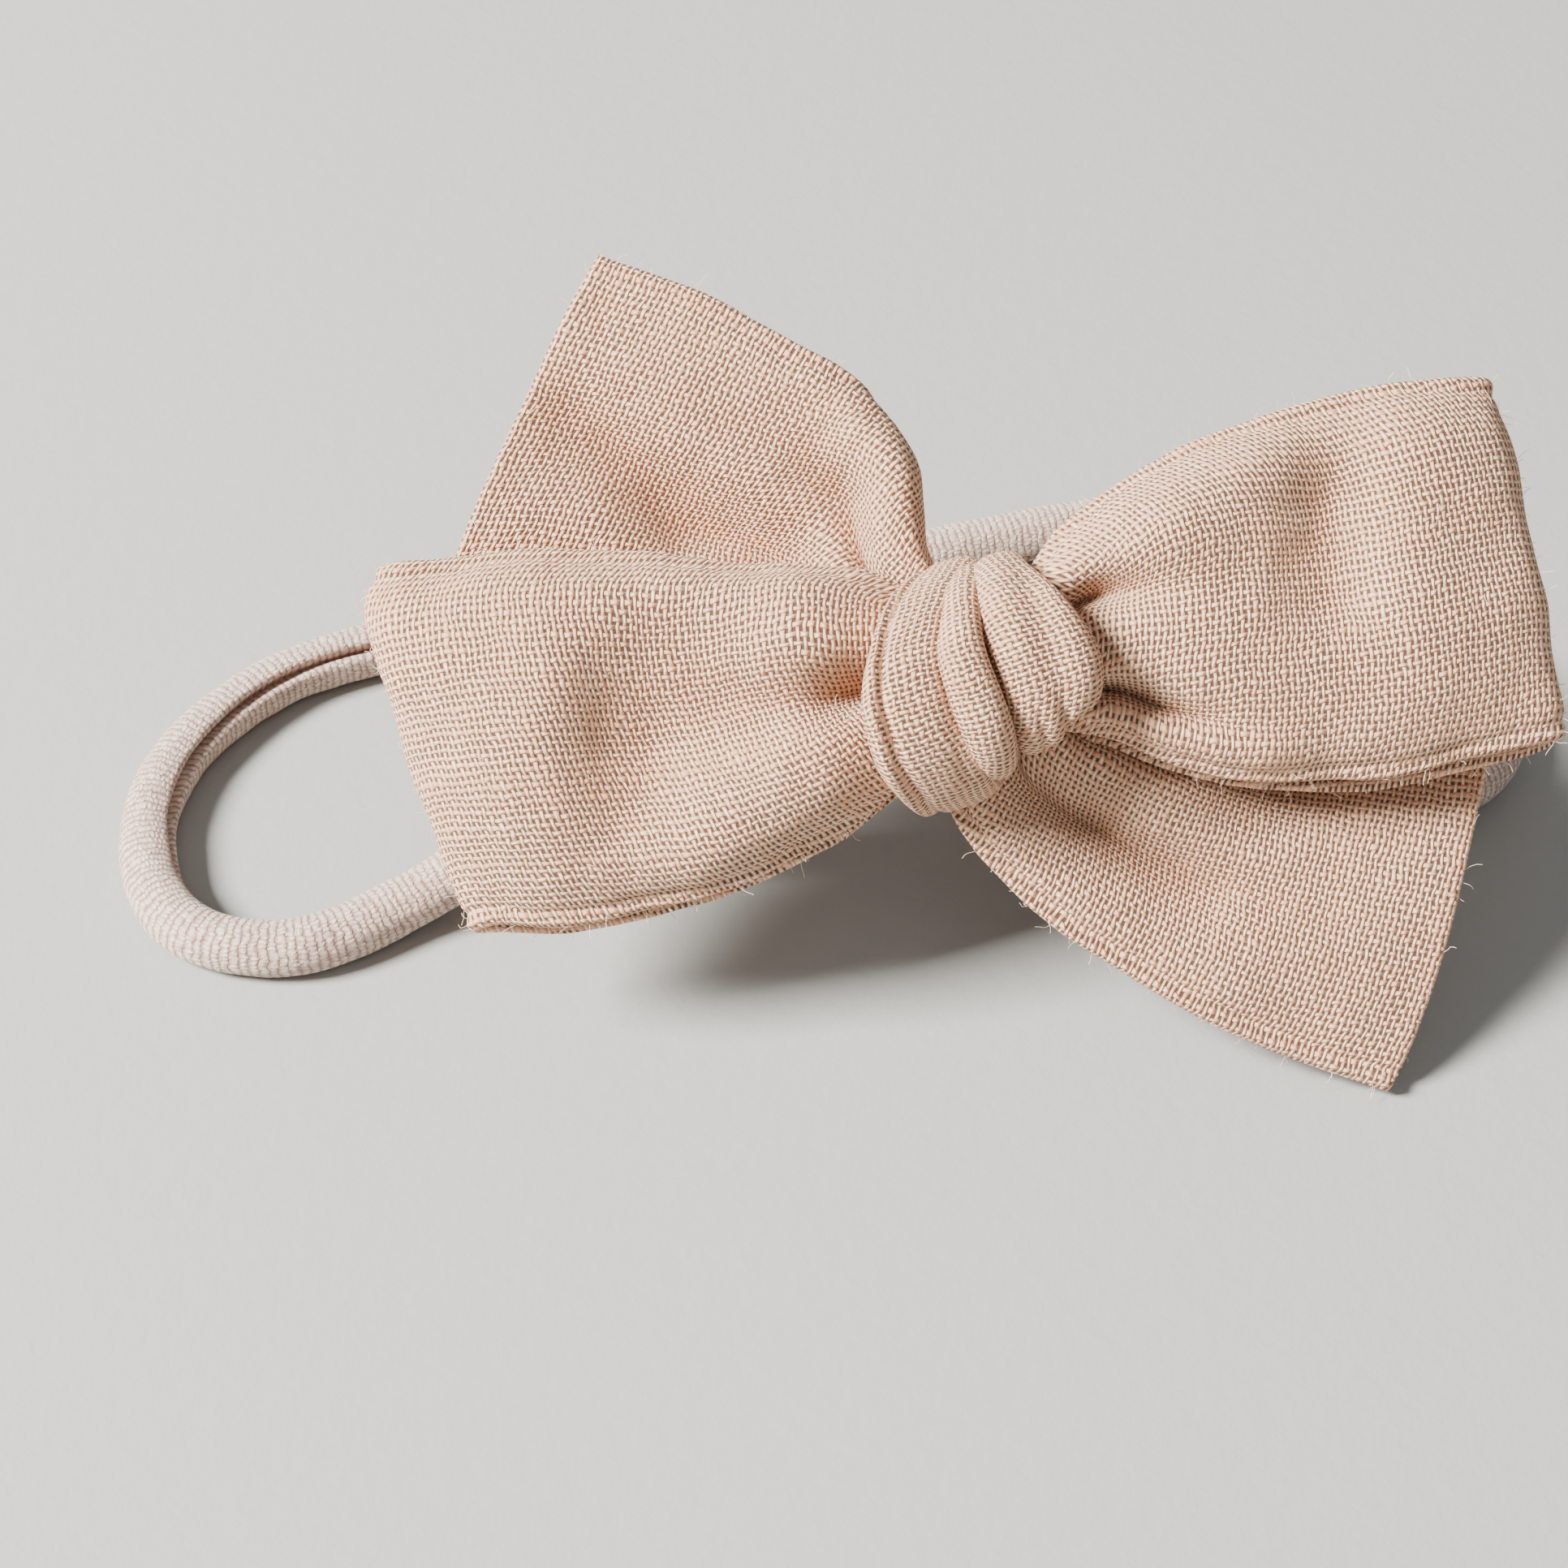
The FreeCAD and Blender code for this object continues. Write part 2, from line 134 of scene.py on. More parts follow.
def meshPiece(name, verts, faces, uvs, material, **marks):
    mesh = bpy.data.meshes.new(name)
    mesh.from_pydata([tuple(v) for v in verts], [], faces)
    for mark, values in marks.items():
        mesh.attributes.new(mark, "FLOAT", "POINT").data.foreach_set("value", values.ravel())
    layer = mesh.uv_layers.new(name="cloth")
    corners = np.empty(len(mesh.loops), int)
    mesh.loops.foreach_get("vertex_index", corners)
    layer.data.foreach_set("uv", np.asarray(uvs)[corners].ravel())
    work = bmesh.new()
    work.from_mesh(mesh)
    bmesh.ops.remove_doubles(work, verts=work.verts, dist=2e-6)
    bmesh.ops.dissolve_degenerate(work, edges=work.edges, dist=1e-6)
    bmesh.ops.recalc_face_normals(work, faces=work.faces)
    work.to_mesh(mesh)
    work.free()
    mesh.polygons.foreach_set("use_smooth", [True] * len(mesh.polygons))
    mesh.materials.append(material)
    piece = bpy.data.objects.new(name, mesh)
    bpy.context.collection.objects.link(piece)
    return piece


# the camera looks square at the bow's face
camera = {"lens": 70.0, "sensor": 36.0, "view": 141.0, "across": -17.1, "up": -9.2, "nearest": 0.01}


def makeCamera():
    lens = bpy.data.cameras.new("portrait")
    lens.lens, lens.sensor_width, lens.clip_start = camera["lens"], camera["sensor"], camera["nearest"]
    distance = camera["view"] * camera["lens"] / camera["sensor"]
    eye = bpy.data.objects.new("portrait", lens)
    eye.location = inMetres([camera["across"], camera["up"], distance])
    eye.rotation_euler = (math.pi / 2 - bowLean, 0, 0)
    bpy.context.collection.objects.link(eye)
    bpy.context.scene.camera = eye


makeCamera()
print("camera set")


def socket(tree, name, inOut, kind, value=None):
    item = tree.interface.new_socket(name=name, in_out=inOut, socket_type=kind)
    if value is not None:
        item.default_value = value


class Wiring:
    # short calls for wiring nodes in one tree
    def __init__(self, tree):
        self.tree = tree

    def node(self, kind, inputs=None, **settings):
        made = self.tree.nodes.new(kind)
        for key, value in settings.items():
            setattr(made, key, value)
        self.wire(made, inputs or {})
        return made

    def first(self, kind, inputs=None, **settings):
        return self.node(kind, inputs, **settings).outputs[0]

    def wire(self, made, inputs):
        for key, value in inputs.items():
            if isinstance(value, bpy.types.NodeSocket):
                self.tree.links.new(value, made.inputs[key])
            else:
                made.inputs[key].default_value = value

    def math(self, operation, *values):
        return self.first("ShaderNodeMath", dict(enumerate(values)), operation=operation)

    def plus(self, first, second):
        return self.math("ADD", first, second)

    def minus(self, first, second):
        return self.math("SUBTRACT", first, second)

    def times(self, first, second):
        return self.math("MULTIPLY", first, second)

    def over(self, first, second):
        return self.math("DIVIDE", first, second)

    def scaled(self, vector, amount):
        return self.first("ShaderNodeVectorMath", {0: vector, "Scale": amount}, operation="SCALE")

    def noise(self, vector, scale, detail=2.0, rough=0.5):
        made = self.node("ShaderNodeTexNoise", {"Vector": vector, "Scale": scale, "Detail": detail,
                                                "Roughness": rough})
        return made.outputs["Fac"]

    def swayed(self, place, across, plane, scale, detail, amounts):
        # both coordinates pulled out of true by a slow noise
        made = self.node("ShaderNodeTexNoise", {"Vector": plane, "Scale": scale, "Detail": detail})
        first, second, _ = self.split(made.outputs["Color"])
        return (self.plus(place, self.times(first, amounts[0])),
                self.plus(across, self.times(second, amounts[1])))

    def join(self, x, y, z=0.0):
        return self.first("ShaderNodeCombineXYZ", {0: x, 1: y, 2: z})

    def split(self, vector):
        return self.node("ShaderNodeSeparateXYZ", {0: vector}).outputs

    def spread(self, value, fromLow, fromHigh, toLow=0.0, toHigh=1.0):
        return self.first("ShaderNodeMapRange", {0: value, 1: fromLow, 2: fromHigh, 3: toLow,
                                                 4: toHigh})

    def blend(self, share, first, second, kind="MIX"):
        made = self.node("ShaderNodeMix", {0: share, 6: first, 7: second}, data_type="RGBA",
                         blend_type=kind)
        return made.outputs[2]


def rgb(red, green, blue):
    # display values from 0 to 255, as the linear colour that a shader takes
    parts = []
    for value in (red, green, blue):
        v = value / 255
        parts.append(v / 12.92 if v <= 0.04045 else ((v + 0.055) / 1.055) ** 2.4)
    return (*parts, 1.0)


def clothGroup(name, sizes, results):
    # a shader group that draws on cloth coordinates, in metres along and across the strip
    tree = bpy.data.node_groups.new(name, "ShaderNodeTree")
    socket(tree, "Cloth", "INPUT", "NodeSocketVector")
    for label, value in sizes.items():
        socket(tree, label, "INPUT", "NodeSocketFloat", value)
    for label in results:
        socket(tree, label, "OUTPUT", "NodeSocketFloat")
    w = Wiring(tree)
    given = w.node("NodeGroupInput").outputs
    along, across, _ = w.split(given["Cloth"])
    return tree, w, given, w.times(along, 1 / mm), w.times(across, 1 / mm)


def newMaterial(name, finish):
    material = bpy.data.materials.new(name)
    material.use_nodes = True
    shader = material.node_tree.nodes["Principled BSDF"]
    for label, value in finish.items():
        shader.inputs[label].default_value = value
    return material, Wiring(material.node_tree), shader


def raised(w, height, strength, distance):
    return w.first("ShaderNodeBump", {"Strength": strength, "Distance": distance * mm,
                                      "Height": height})


def makePlainWeave():
    # threads over and under each other
    tree, w, given, along, across = clothGroup(
        "plain weave", {"Weft pitch": 0.56, "Warp pitch": 0.70, "Slubs": 0.35},
        ["Height", "Gaps", "Weft on top", "Thread tone"])
    plane = w.join(along, across)
    along, across = w.swayed(along, across, plane, 0.45, 2.0, (0.7, 0.7))
    x, y = w.over(along, given["Weft pitch"]), w.over(across, given["Warp pitch"])
    cellX, cellY = w.math("FLOOR", x), w.math("FLOOR", y)

    def thread(place, cell, other, seed, slim):
        # each thread reads its own line of the noise, so its width varies along it, and it has
        # its own tone
        drawn = w.join(w.times(cell, 7.31), w.times(other, 0.16), seed)
        swell = w.noise(drawn, 1.0, 3.0, 0.6)
        own = w.noise(w.join(w.times(cell, 3.17), seed, 0.0), 1.0, 0.0)
        width = w.plus(w.times(w.minus(swell, 0.5), given["Slubs"]), slim)
        width = w.plus(width, w.times(w.minus(own, 0.5), given["Slubs"]))
        offset = w.minus(w.math("FRACT", place), 0.5)
        side = w.over(w.math("ABSOLUTE", offset), w.times(width, 0.5))
        roundness = w.math("SQRT", w.math("MAXIMUM", w.minus(1.0, w.times(side, side)), 0.0))
        odd = w.times(w.math("PINGPONG", cell, 1.0), 2.0)
        wave = w.times(w.minus(1.0, odd), w.math("SINE", w.times(other, math.pi)))
        return roundness, wave, own

    weftRound, weftWave, weftOwn = thread(x, cellX, y, 1.7, 0.70)
    warpRound, warpWave, warpOwn = thread(y, cellY, x, 8.3, 0.62)
    weft = w.times(weftRound, w.plus(0.62, w.times(weftWave, 0.38)))
    warp = w.times(warpRound, w.plus(0.53, w.times(warpWave, -0.40)))
    fluff = w.times(w.minus(w.noise(plane, 9.0, 2.0, 0.6), 0.5), 0.14)
    onTop = w.spread(w.minus(weft, warp), -0.12, 0.12)
    w.node("NodeGroupOutput", {
        "Height": w.plus(w.math("MAXIMUM", weft, warp), fluff),
        "Gaps": w.spread(w.math("MAXIMUM", weftRound, warpRound), 0.25, 0.75, 1.0, 0.0),
        "Weft on top": onTop, "Thread tone": w.blend(onTop, warpOwn, weftOwn)})
    return tree


plainWeave = makePlainWeave()

linen = {
    "weave": {"Weft pitch": 0.56, "Warp pitch": 0.70, "Slubs": 0.42}, "bump": 0.42,
    # the darker third colour gives the threads their own tone, and is painted shade where the weave sinks
    "weft": rgb(255, 221, 184), "warp": rgb(253, 205, 169), "shadeAndTone": rgb(199, 154, 127),
    # painted shade: the gap colour darkens the holes between threads, and the fold colour with its share
    # paints shade into hollows of the cloth
    "gap": rgb(95, 65, 49), "fold": rgb(214, 174, 152), "foldShare": 0.38,
    "finish": {"Specular IOR Level": 0.22, "Sheen Weight": 0.18, "Sheen Roughness": 0.5,
               "Sheen Tint": rgb(255, 236, 220), "Subsurface Weight": 0.10,
               "Subsurface Radius": (1.0, 0.4, 0.22), "Subsurface Scale": 0.0008},
}


def makeLinen():
    material, w, shader = newMaterial("blush linen", linen["finish"])
    cloth = w.first("ShaderNodeUVMap", uv_map="cloth")
    weave = w.node("ShaderNodeGroup", {"Cloth": cloth, **linen["weave"]}, node_tree=plainWeave).outputs
    height = weave["Height"]
    colour = w.blend(weave["Weft on top"], linen["warp"], linen["weft"])
    tone = w.spread(weave["Thread tone"], 0.3, 0.7, 0.0, 0.5)
    colour = w.blend(tone, colour, linen["shadeAndTone"], "MULTIPLY")
    # painted shade: the weave darkens where its threads sink
    colour = w.blend(w.spread(height, 0.22, 0.84, 0.95, 0.0), colour, linen["shadeAndTone"])
    patches = w.spread(w.noise(cloth, 210.0, 3.0, 0.6), 0.35, 0.75, 0.0, 0.22)
    colour = w.blend(patches, colour, linen["shadeAndTone"], "SOFT_LIGHT")
    # painted shade in the holes between the threads
    colour = w.blend(weave["Gaps"], colour, linen["gap"])
    # painted shade: the fold mark multiplies the colour towards a warm darker one, like light bounced
    # inside a fold
    fold = w.node("ShaderNodeAttribute", attribute_name="fold").outputs["Fac"]
    colour = w.blend(w.times(fold, linen["foldShare"]), colour, linen["fold"], "MULTIPLY")
    w.wire(shader, {"Base Color": colour, "Roughness": w.spread(height, 0.2, 1.0, 0.95, 0.74),
                    "Normal": raised(w, height, 1.0, linen["bump"])})
    return material


linenCloth = makeLinen()
print("linen made")

# cloth lengths of the bow: each is a net of points, row by row along the strip
strip = {"thickness": 1.05, "width": 33.0, "edgeReach": 0.62, "columns": 84, "finePoints": 240,
         "hollowShade": 2.2, "ridgeAt": 0.85, "ridgeWidth": 0.5, "grooveAt": 1.95, "grooveWidth": 0.40,
         "grooveShare": 0.9, "squeezed": 0.3, "edgeFuzz": 0.9, "foldFuzz": 1.6}


def foldRows(count, ends, foldAt, foldShare, foldWidth):
    # places along the strip, closer together at its ends and at a fold
    fine = np.linspace(0, ends, 2000)
    weight = 1 + foldShare * bellAt(fine, foldAt, foldWidth)
    weight += 2.0 * (np.exp(-fine / 0.12) + np.exp(-(ends - fine) / 0.12))
    total = np.cumsum(weight)
    total = (total - total[0]) / (total[-1] - total[0])
    return np.interp(np.linspace(0, 1, count), total, fine)


def rumple(middle, normals, piece, fromKnot):
    # pleats that fan out of the knot, and the slack of the cloth
    share = np.linspace(0, 1, middle.shape[1])[None, :]
    fade = np.exp(-fromKnot / piece["pleatReach"])
    wave = np.sin(2 * math.pi * (piece["pleats"] * share + piece["pleatStart"]))
    wave = wave + 0.5 * np.sin(2 * math.pi * (piece["pleats"] * 1.9 * share + 0.3))
    slack = np.empty(middle.shape[:2])
    for i, j in np.ndindex(*slack.shape):
        spot = Vector(middle[i, j])
        soft = noise.noise(spot * 0.11 + Vector((piece["seed"], 0, 0)))
        fine = noise.noise(spot * 0.34 + Vector((0, piece["seed"], 0)))
        slack[i, j] = soft * piece["slack"] + fine * piece["slack"] * 0.22
    return middle + normals * (piece["pleatDepth"] * fade * wave + slack)[..., None]


def surfaceNormals(middle):
    normals = np.cross(np.gradient(middle, axis=0), np.gradient(middle, axis=1))
    return normals / np.maximum(np.linalg.norm(normals, axis=2, keepdims=True), 1e-9)


def hollows(middle, normals):
    # how far each point lies below its surroundings, a millimetre or two away
    depth = np.zeros(middle.shape[:2])
    for step in (4, 8):
        around = np.zeros_like(middle)
        for axis, count in enumerate(middle.shape[:2]):
            for way in (-step, step):
                around += np.take(middle, np.clip(np.arange(count) + way, 0, count - 1), axis) / 4
        depth += np.einsum("ijk,ijk->ij", around - middle, normals) / step
    return depth


def clothPiece(name, net, piece):
    # a sewn and turned strip, two cloths thick, through a net of points
    net = np.asarray(net, float)
    folded = piece["foldShare"] > 0
    rows = foldRows(piece["rows"], len(net) - 1, piece["foldAt"], piece["foldShare"], 0.55)
    fine = throughPoints(net, rows).transpose(1, 0, 2)
    wide = throughPoints(fine, np.linspace(0, net.shape[1] - 1, strip["finePoints"]))
    x = np.linspace(0, 1, strip["columns"])
    shares = x - 0.85 * np.sin(2 * math.pi * x) / (2 * math.pi)
    middle = evened(wide.transpose(1, 0, 2), shares)
    along = lengthsAlong(middle, 0)
    fromKnot = np.minimum(along, along[-1:] - along) if folded else along
    along = along - (along[[np.argmin(abs(rows - piece["foldAt"]))]] if folded else along[-1:])
    middle = rumple(middle, surfaceNormals(middle), piece, fromKnot)
    normals = surfaceNormals(middle)
    lengths = lengthsAlong(middle, 1)
    width = lengths[:, -1:]
    fromEdge = np.minimum(lengths, width - lengths)
    half = strip["thickness"] / 2 * edgeRounding(fromEdge, strip["edgeReach"])
    for inward, ridge in zip((lengths, width - lengths), piece["ridges"]):
        half += ridge * bellAt(inward, strip["ridgeAt"], strip["ridgeWidth"])
        half -= ridge * strip["grooveShare"] * bellAt(inward, strip["grooveAt"], strip["grooveWidth"])
    half[:, 0] = half[:, -1] = 0
    first = lengthsAlong(middle, 0)
    toEnd = np.minimum(first, first[-1:] - first)
    half *= edgeRounding(toEnd, strip["edgeReach"])
    half[0], half[-1] = 0, 0
    # the weave mostly keeps its own width, and is squeezed with the cloth for the rest
    across = (1 - strip["squeezed"]) * (lengths - width / 2)
    across = across + strip["squeezed"] * (shares[None, :] - 0.5) * strip["width"]
    ring = withReturn(middle + normals * half[..., None], middle - normals * half[..., None])
    uv = np.stack([along, across], axis=2) * mm + piece["uvStart"]
    # painted shade: each face is darkened where it lies in a hollow, the more the deeper it lies
    hollow = hollows(middle, normals)
    fold = np.clip(withReturn(hollow, -hollow) * strip["hollowShade"], 0, 1)
    nearEdge = bellAt(np.minimum(fromEdge, toEnd), 0, strip["edgeFuzz"])
    if folded:
        nearEdge = np.maximum(nearEdge, bellAt(along, 0, strip["foldFuzz"]))
    nearEdge = nearEdge * np.clip((fromKnot - 7.0) / 5.0, 0, 1)
    return meshPiece(name, inMetres(ring.reshape(-1, 3)), tubeFaces(*ring.shape[:2]),
                     withReturn(uv, uv).reshape(-1, 2), linenCloth, fold=fold,
                     edge=withReturn(nearEdge, nearEdge))


def loopNet(loop):
    # the front ply out to the fold, and the back ply home again behind it
    rows = [np.array(row, float) for row in loop["front"]]
    back = []
    for row, bulge in zip(rows, loop["backBulge"]):
        share = np.linspace(0, 1, len(row))
        turned = row + np.array([*loop["backShift"], 0.0])
        turned[:, 2] = loop["backLevel"] - bulge * np.sin(math.pi * share) ** 0.8
        back.append(turned)
    return rows + [np.array(loop["fold"], float)] + back[::-1]


lowerLeftLoop = {
    "front": [
        [(-3, 5.5, 0.5), (-3, 4.2, 2.6), (-3, 2.4, 3.4), (-3, 0, 1.8), (-3, -2.4, 3.2), (-3, -4.2, 2.8),
         (-3, -5.5, 0.5)],
        [(-8.4, 8.9, 0.2), (-9.3, 6.6, 3.6), (-9.8, 3.2, 4.8), (-10, -1.2, 0.9), (-10, -4.4, 4.8),
         (-9.6, -8.0, 4.4), (-8.6, -10.4, 0.4)],
        [(-16.5, 10.1, 0.5), (-17, 7.4, 4.9), (-17, 3.2, 6.2), (-17.4, -1.9, 4.0), (-17, -7.0, 6.6),
         (-16.4, -12.2, 5.4), (-15.0, -15.3, 0.8)],
        [(-27.5, 11.0, 0.8), (-28, 7.4, 4.4), (-28.6, 2.6, 3.8), (-29.2, -3.4, 2.7), (-29.0, -9.6, 3.6),
         (-27.6, -15.9, 4.4), (-26.6, -19.9, 0.8)],
        [(-38.5, 11.6, 0.9), (-39, 7.2, 4.9), (-38.8, 2.0, 6.6), (-38.2, -4.3, 6.4), (-37.4, -10.8, 5.6),
         (-36.6, -17.2, 3.4), (-35.8, -21.7, 0.5)],
        [(-49.6, 10.9, 0.9), (-51.0, 6.6, 3.1), (-50.2, 1.4, 3.4), (-48.8, -3.8, 3.0), (-47.1, -9.6, 2.5),
         (-45.1, -16.2, 1.7), (-42.7, -21.9, 0.5)],
    ],
    "fold": [(-52.6, 10.4, -0.2), (-54.2, 6.8, -0.2), (-53.0, 1.2, -0.2), (-51.4, -4.0, -0.3),
             (-49.5, -10.0, -0.4), (-47.3, -16.8, -0.5), (-44.7, -22.6, -0.6)],
    "backBulge": [3.2, 4.2, 4.6, 4.4, 3.6, 1.9], "backLevel": -1.0, "backShift": (0.2, -0.7),
    "rows": 230, "foldAt": 6, "foldShare": 2.4, "pleats": 2.6, "pleatStart": 0.15, "pleatDepth": 0.55,
    "pleatReach": 9.0, "slack": 0.75, "ridges": (0.20, 0.30), "seed": 3.7,
    "uvStart": np.array([0.2, 0.1]), "body": "lower_left_loop", "flat": (0.033, 0.110), "held": "folded",
    "solids": ["lower_left_loop_front_ply", "lower_left_loop_back_ply"], "fibreSeed": 17,
}

upperRightLoop = {
    "front": [
        [(3, 5.6, 0.5), (3, 4.6, 2.8), (3, 3.4, 2.4), (3, 2.2, 0.8), (3, 1.0, 2.8), (3, -0.4, 3.0),
         (3, -1.4, 1.0), (3, -2.2, 0.4), (3, -3.0, 1.6), (3, -4.0, 0.4)],
        [(8.4, 14.0, 0.2), (9.4, 12.2, 3.6), (9.4, 9.4, 4.0), (9.3, 6.9, 0.6), (10.0, 5.0, 4.6),
         (10.8, 2.6, 5.6), (11.2, 0.8, 4.6), (11.4, -0.7, 0.6), (11.2, -2.6, 3.4), (10.9, -4.6, 0.8)],
        [(16.4, 19.5, 0.5), (16.8, 16.6, 5.4), (17, 12.4, 7.2), (17, 8.6, 5.2), (17, 5.2, 6.0),
         (17.2, 2.2, 6.0), (17.3, -0.4, 5.0), (17.4, -2.5, 2.2), (17.2, -4.6, 3.8), (16.8, -6.8, 0.8)],
        [(23.5, 22.6, 0.7), (24, 18.8, 5.2), (24.2, 14.2, 5.4), (24.4, 9.6, 5.2), (24.4, 5.8, 5.8),
         (24.4, 2.4, 5.8), (24.4, -0.8, 5.2), (24.2, -3.8, 3.9), (24, -6.2, 3.8), (23.6, -8.5, 0.8)],
        [(31.3, 25.2, 0.7), (31.6, 20.6, 2.8), (31.4, 15.4, 2.4), (31.4, 10.2, 2.5), (31.8, 6.2, 3.4),
         (32.2, 2.6, 4.8), (32.2, -0.8, 4.7), (32, -4.0, 4.1), (31.8, -6.6, 3.1), (31.6, -8.8, 0.7)],
        [(37.4, 26.4, 0.8), (38, 21.4, 4.6), (38.6, 15.6, 5.4), (39, 10.2, 5.4), (39.2, 6.0, 5.6),
         (39.2, 2.4, 5.2), (39.2, -0.8, 4.7), (39, -3.6, 3.8), (38.8, -6.0, 2.6), (38.4, -8.3, 0.6)],
        [(44.0, 27.3, 0.6), (45.4, 22.0, 2.7), (46.8, 16.2, 3.2), (47.8, 10.6, 3.1), (48.6, 6.2, 2.9),
         (49.2, 2.6, 2.7), (49.5, -0.4, 2.4), (49.7, -2.4, 2.0), (49.8, -4.0, 1.4), (49.6, -5.7, 0.4)],
    ],
    "fold": [(45.9, 27.3, -0.5), (47.6, 21.6, -0.4), (49.2, 15.4, -0.3), (50.4, 9.6, -0.3),
             (51.2, 5.2, -0.3), (51.7, 1.8, -0.3), (52.0, -0.8, -0.3), (52.2, -2.6, -0.3),
             (52.3, -4.0, -0.4), (52.3, -5.3, -0.6)],
    "backBulge": [3.2, 3.8, 4.2, 4.2, 4.0, 3.2, 1.6], "backLevel": -1.2, "backShift": (0.3, -0.9),
    "rows": 230, "foldAt": 7, "foldShare": 2.4, "pleats": 2.2, "pleatStart": 0.6, "pleatDepth": 0.25,
    "pleatReach": 8.0, "slack": 0.7, "ridges": (0.22, 0.24), "seed": 11.3,
    "uvStart": np.array([0.5, 0.3]), "body": "upper_right_loop", "flat": (0.033, 0.110), "held": "folded",
    "solids": ["upper_right_loop_front_ply", "upper_right_loop_back_ply"], "fibreSeed": 18,
}

upperLeftTail = {
    "net": [
        [(-1.8, 4.6, -3.6), (-1.4, 5.4, -2.2), (-2.0, 5.2, -0.6), (-3.0, 4.6, -1.8), (-3.8, 3.8, -3.8),
         (-4.8, 3.0, -3.4), (-5.6, 2.0, -4.6), (-6.4, 1.0, -4.2), (-7.0, 0.0, -4.8)],
        [(-5.6, 11.4, -4.6), (-4.3, 12.2, -2.8), (-5.4, 12.2, -0.3), (-7.4, 11.2, -1.2),
         (-9.0, 9.9, -4.8), (-10.8, 8.8, -3.4), (-12.4, 6.8, -5.6), (-13.6, 4.6, -5.2), (-14.4, 2.8, -6)],
        [(-7.4, 18.0, -5.0), (-5.4, 19.4, -3.3), (-6.9, 19.1, -0.7), (-9.2, 18.0, -1.5),
         (-11.3, 16.4, -5.3), (-14.2, 14.2, -4.8), (-17.4, 10.9, -8.8), (-19.4, 7.4, -6.4),
         (-21.0, 4.0, -6.6)],
        [(-9.6, 22.5, -4.9), (-7.9, 23.7, -3.4), (-9.7, 22.9, -1.4), (-12.0, 21.2, -2.5),
         (-14.6, 19.2, -5.1), (-17.8, 16.6, -5.0), (-21.3, 13.1, -9.4), (-23.9, 8.9, -6.0),
         (-26.0, 4.8, -6.4)],
        [(-11.7, 27.0, -4.5), (-11.5, 27.2, -3.3), (-13.4, 26.1, -2.7), (-15.6, 24.4, -3.6),
         (-18.6, 22.1, -4.7), (-22.2, 19.0, -5.0), (-26.1, 15.1, -9.8), (-29.1, 10.2, -5.2),
         (-31.4, 5.7, -6.0)],
        [(-22.0, 34.3, -4.7), (-23.2, 33.0, -3.8), (-24.4, 31.6, -3.6), (-26.2, 29.6, -3.6),
         (-28.3, 27.1, -3.9), (-30.5, 24.4, -5.6), (-33.0, 21.3, -8.4), (-36.4, 15.4, -4.8),
         (-40.2, 7.0, -5.6)],
        [(-34.1, 39.4, -5.0), (-34.9, 37.9, -4.7), (-35.7, 36.4, -4.5), (-36.9, 34.2, -4.4),
         (-38.1, 31.9, -4.6), (-39.4, 29.3, -5.6), (-41.0, 26.2, -6.8), (-44.8, 17.4, -4.6),
         (-49.0, 7.2, -5.8)],
    ],
    "rows": 145, "foldAt": 0, "foldShare": 0, "pleats": 2.2, "pleatStart": 0.1, "pleatDepth": 0.2,
    "pleatReach": 8.0, "slack": 0.6, "ridges": (0.24, 0.20), "seed": 5.1,
    "uvStart": np.array([0.8, 0.5]), "body": "upper_left_tail", "flat": (0.033, 0.050), "held": "gathered",
    "solids": ["upper_left_tail", "upper_left_tail_rolled_edge"], "fibreSeed": 17,
}

lowerRightTail = {
    "net": [
        [(1.0, -5.0, -2.6), (2.2, -4.6, -0.2), (3.2, -4.2, -0.8), (4.2, -3.6, -2.6), (5.0, -3.2, -1.0),
         (5.8, -2.6, -0.8), (6.6, -2.0, -2.0), (7.4, -1.4, -3.4), (8.0, -0.8, -4.0)],
        [(-1.5, -11.9, -2.6), (0.2, -10.8, 0.0), (2.2, -9.4, -0.4), (4.6, -8.4, -2.6), (6.4, -7.2, -1.4),
         (8.4, -6.0, -0.8), (10.6, -4.8, -2.8), (12.2, -3.6, -5.2), (13.4, -2.4, -6.0)],
        [(4.9, -19.9, -3.8), (6.9, -17.9, -2.2), (9.3, -15.7, -3.4), (11.5, -13.4, -6.6),
         (13.9, -11.0, -3.2), (16.8, -8.9, -2.6), (19.4, -6.8, -5.6), (21.4, -5.2, -7.8),
         (22.8, -3.6, -7.8)],
        [(14.3, -26.7, -4.4), (16.1, -24.1, -3.0), (18.4, -21.1, -3.8), (20.7, -18.0, -6.0),
         (23.2, -14.8, -4.2), (26.0, -11.8, -5.8), (28.8, -9.2, -8.0), (30.8, -7.0, -8.4),
         (32.4, -4.8, -8.2)],
        [(26.0, -33.0, -4.8), (27.7, -29.8, -4.0), (29.7, -25.8, -3.8), (31.8, -21.4, -4.7),
         (33.9, -17.0, -4.7), (35.8, -13.0, -5.3), (37.6, -9.6, -6.8), (39.2, -6.8, -7.8),
         (40.2, -4.2, -7.8)],
        [(38.2, -37.4, -5.0), (39.5, -34.9, -4.8), (41.3, -30.6, -4.6), (43.1, -25.4, -4.6),
         (44.6, -19.8, -4.8), (45.9, -14.6, -5.2), (47.0, -10.2, -6.0), (47.9, -6.6, -6.8),
         (48.6, -3.8, -7.0)],
    ],
    "rows": 130, "foldAt": 0, "foldShare": 0, "pleats": 2.0, "pleatStart": 0.4, "pleatDepth": 0.2,
    "pleatReach": 8.0, "slack": 0.6, "ridges": (0.55, 0.20), "seed": 8.9,
    "uvStart": np.array([1.1, 0.7]), "body": "lower_right_tail", "flat": (0.033, 0.050), "held": "gathered",
    "solids": ["lower_right_tail"], "fibreSeed": 17,
}

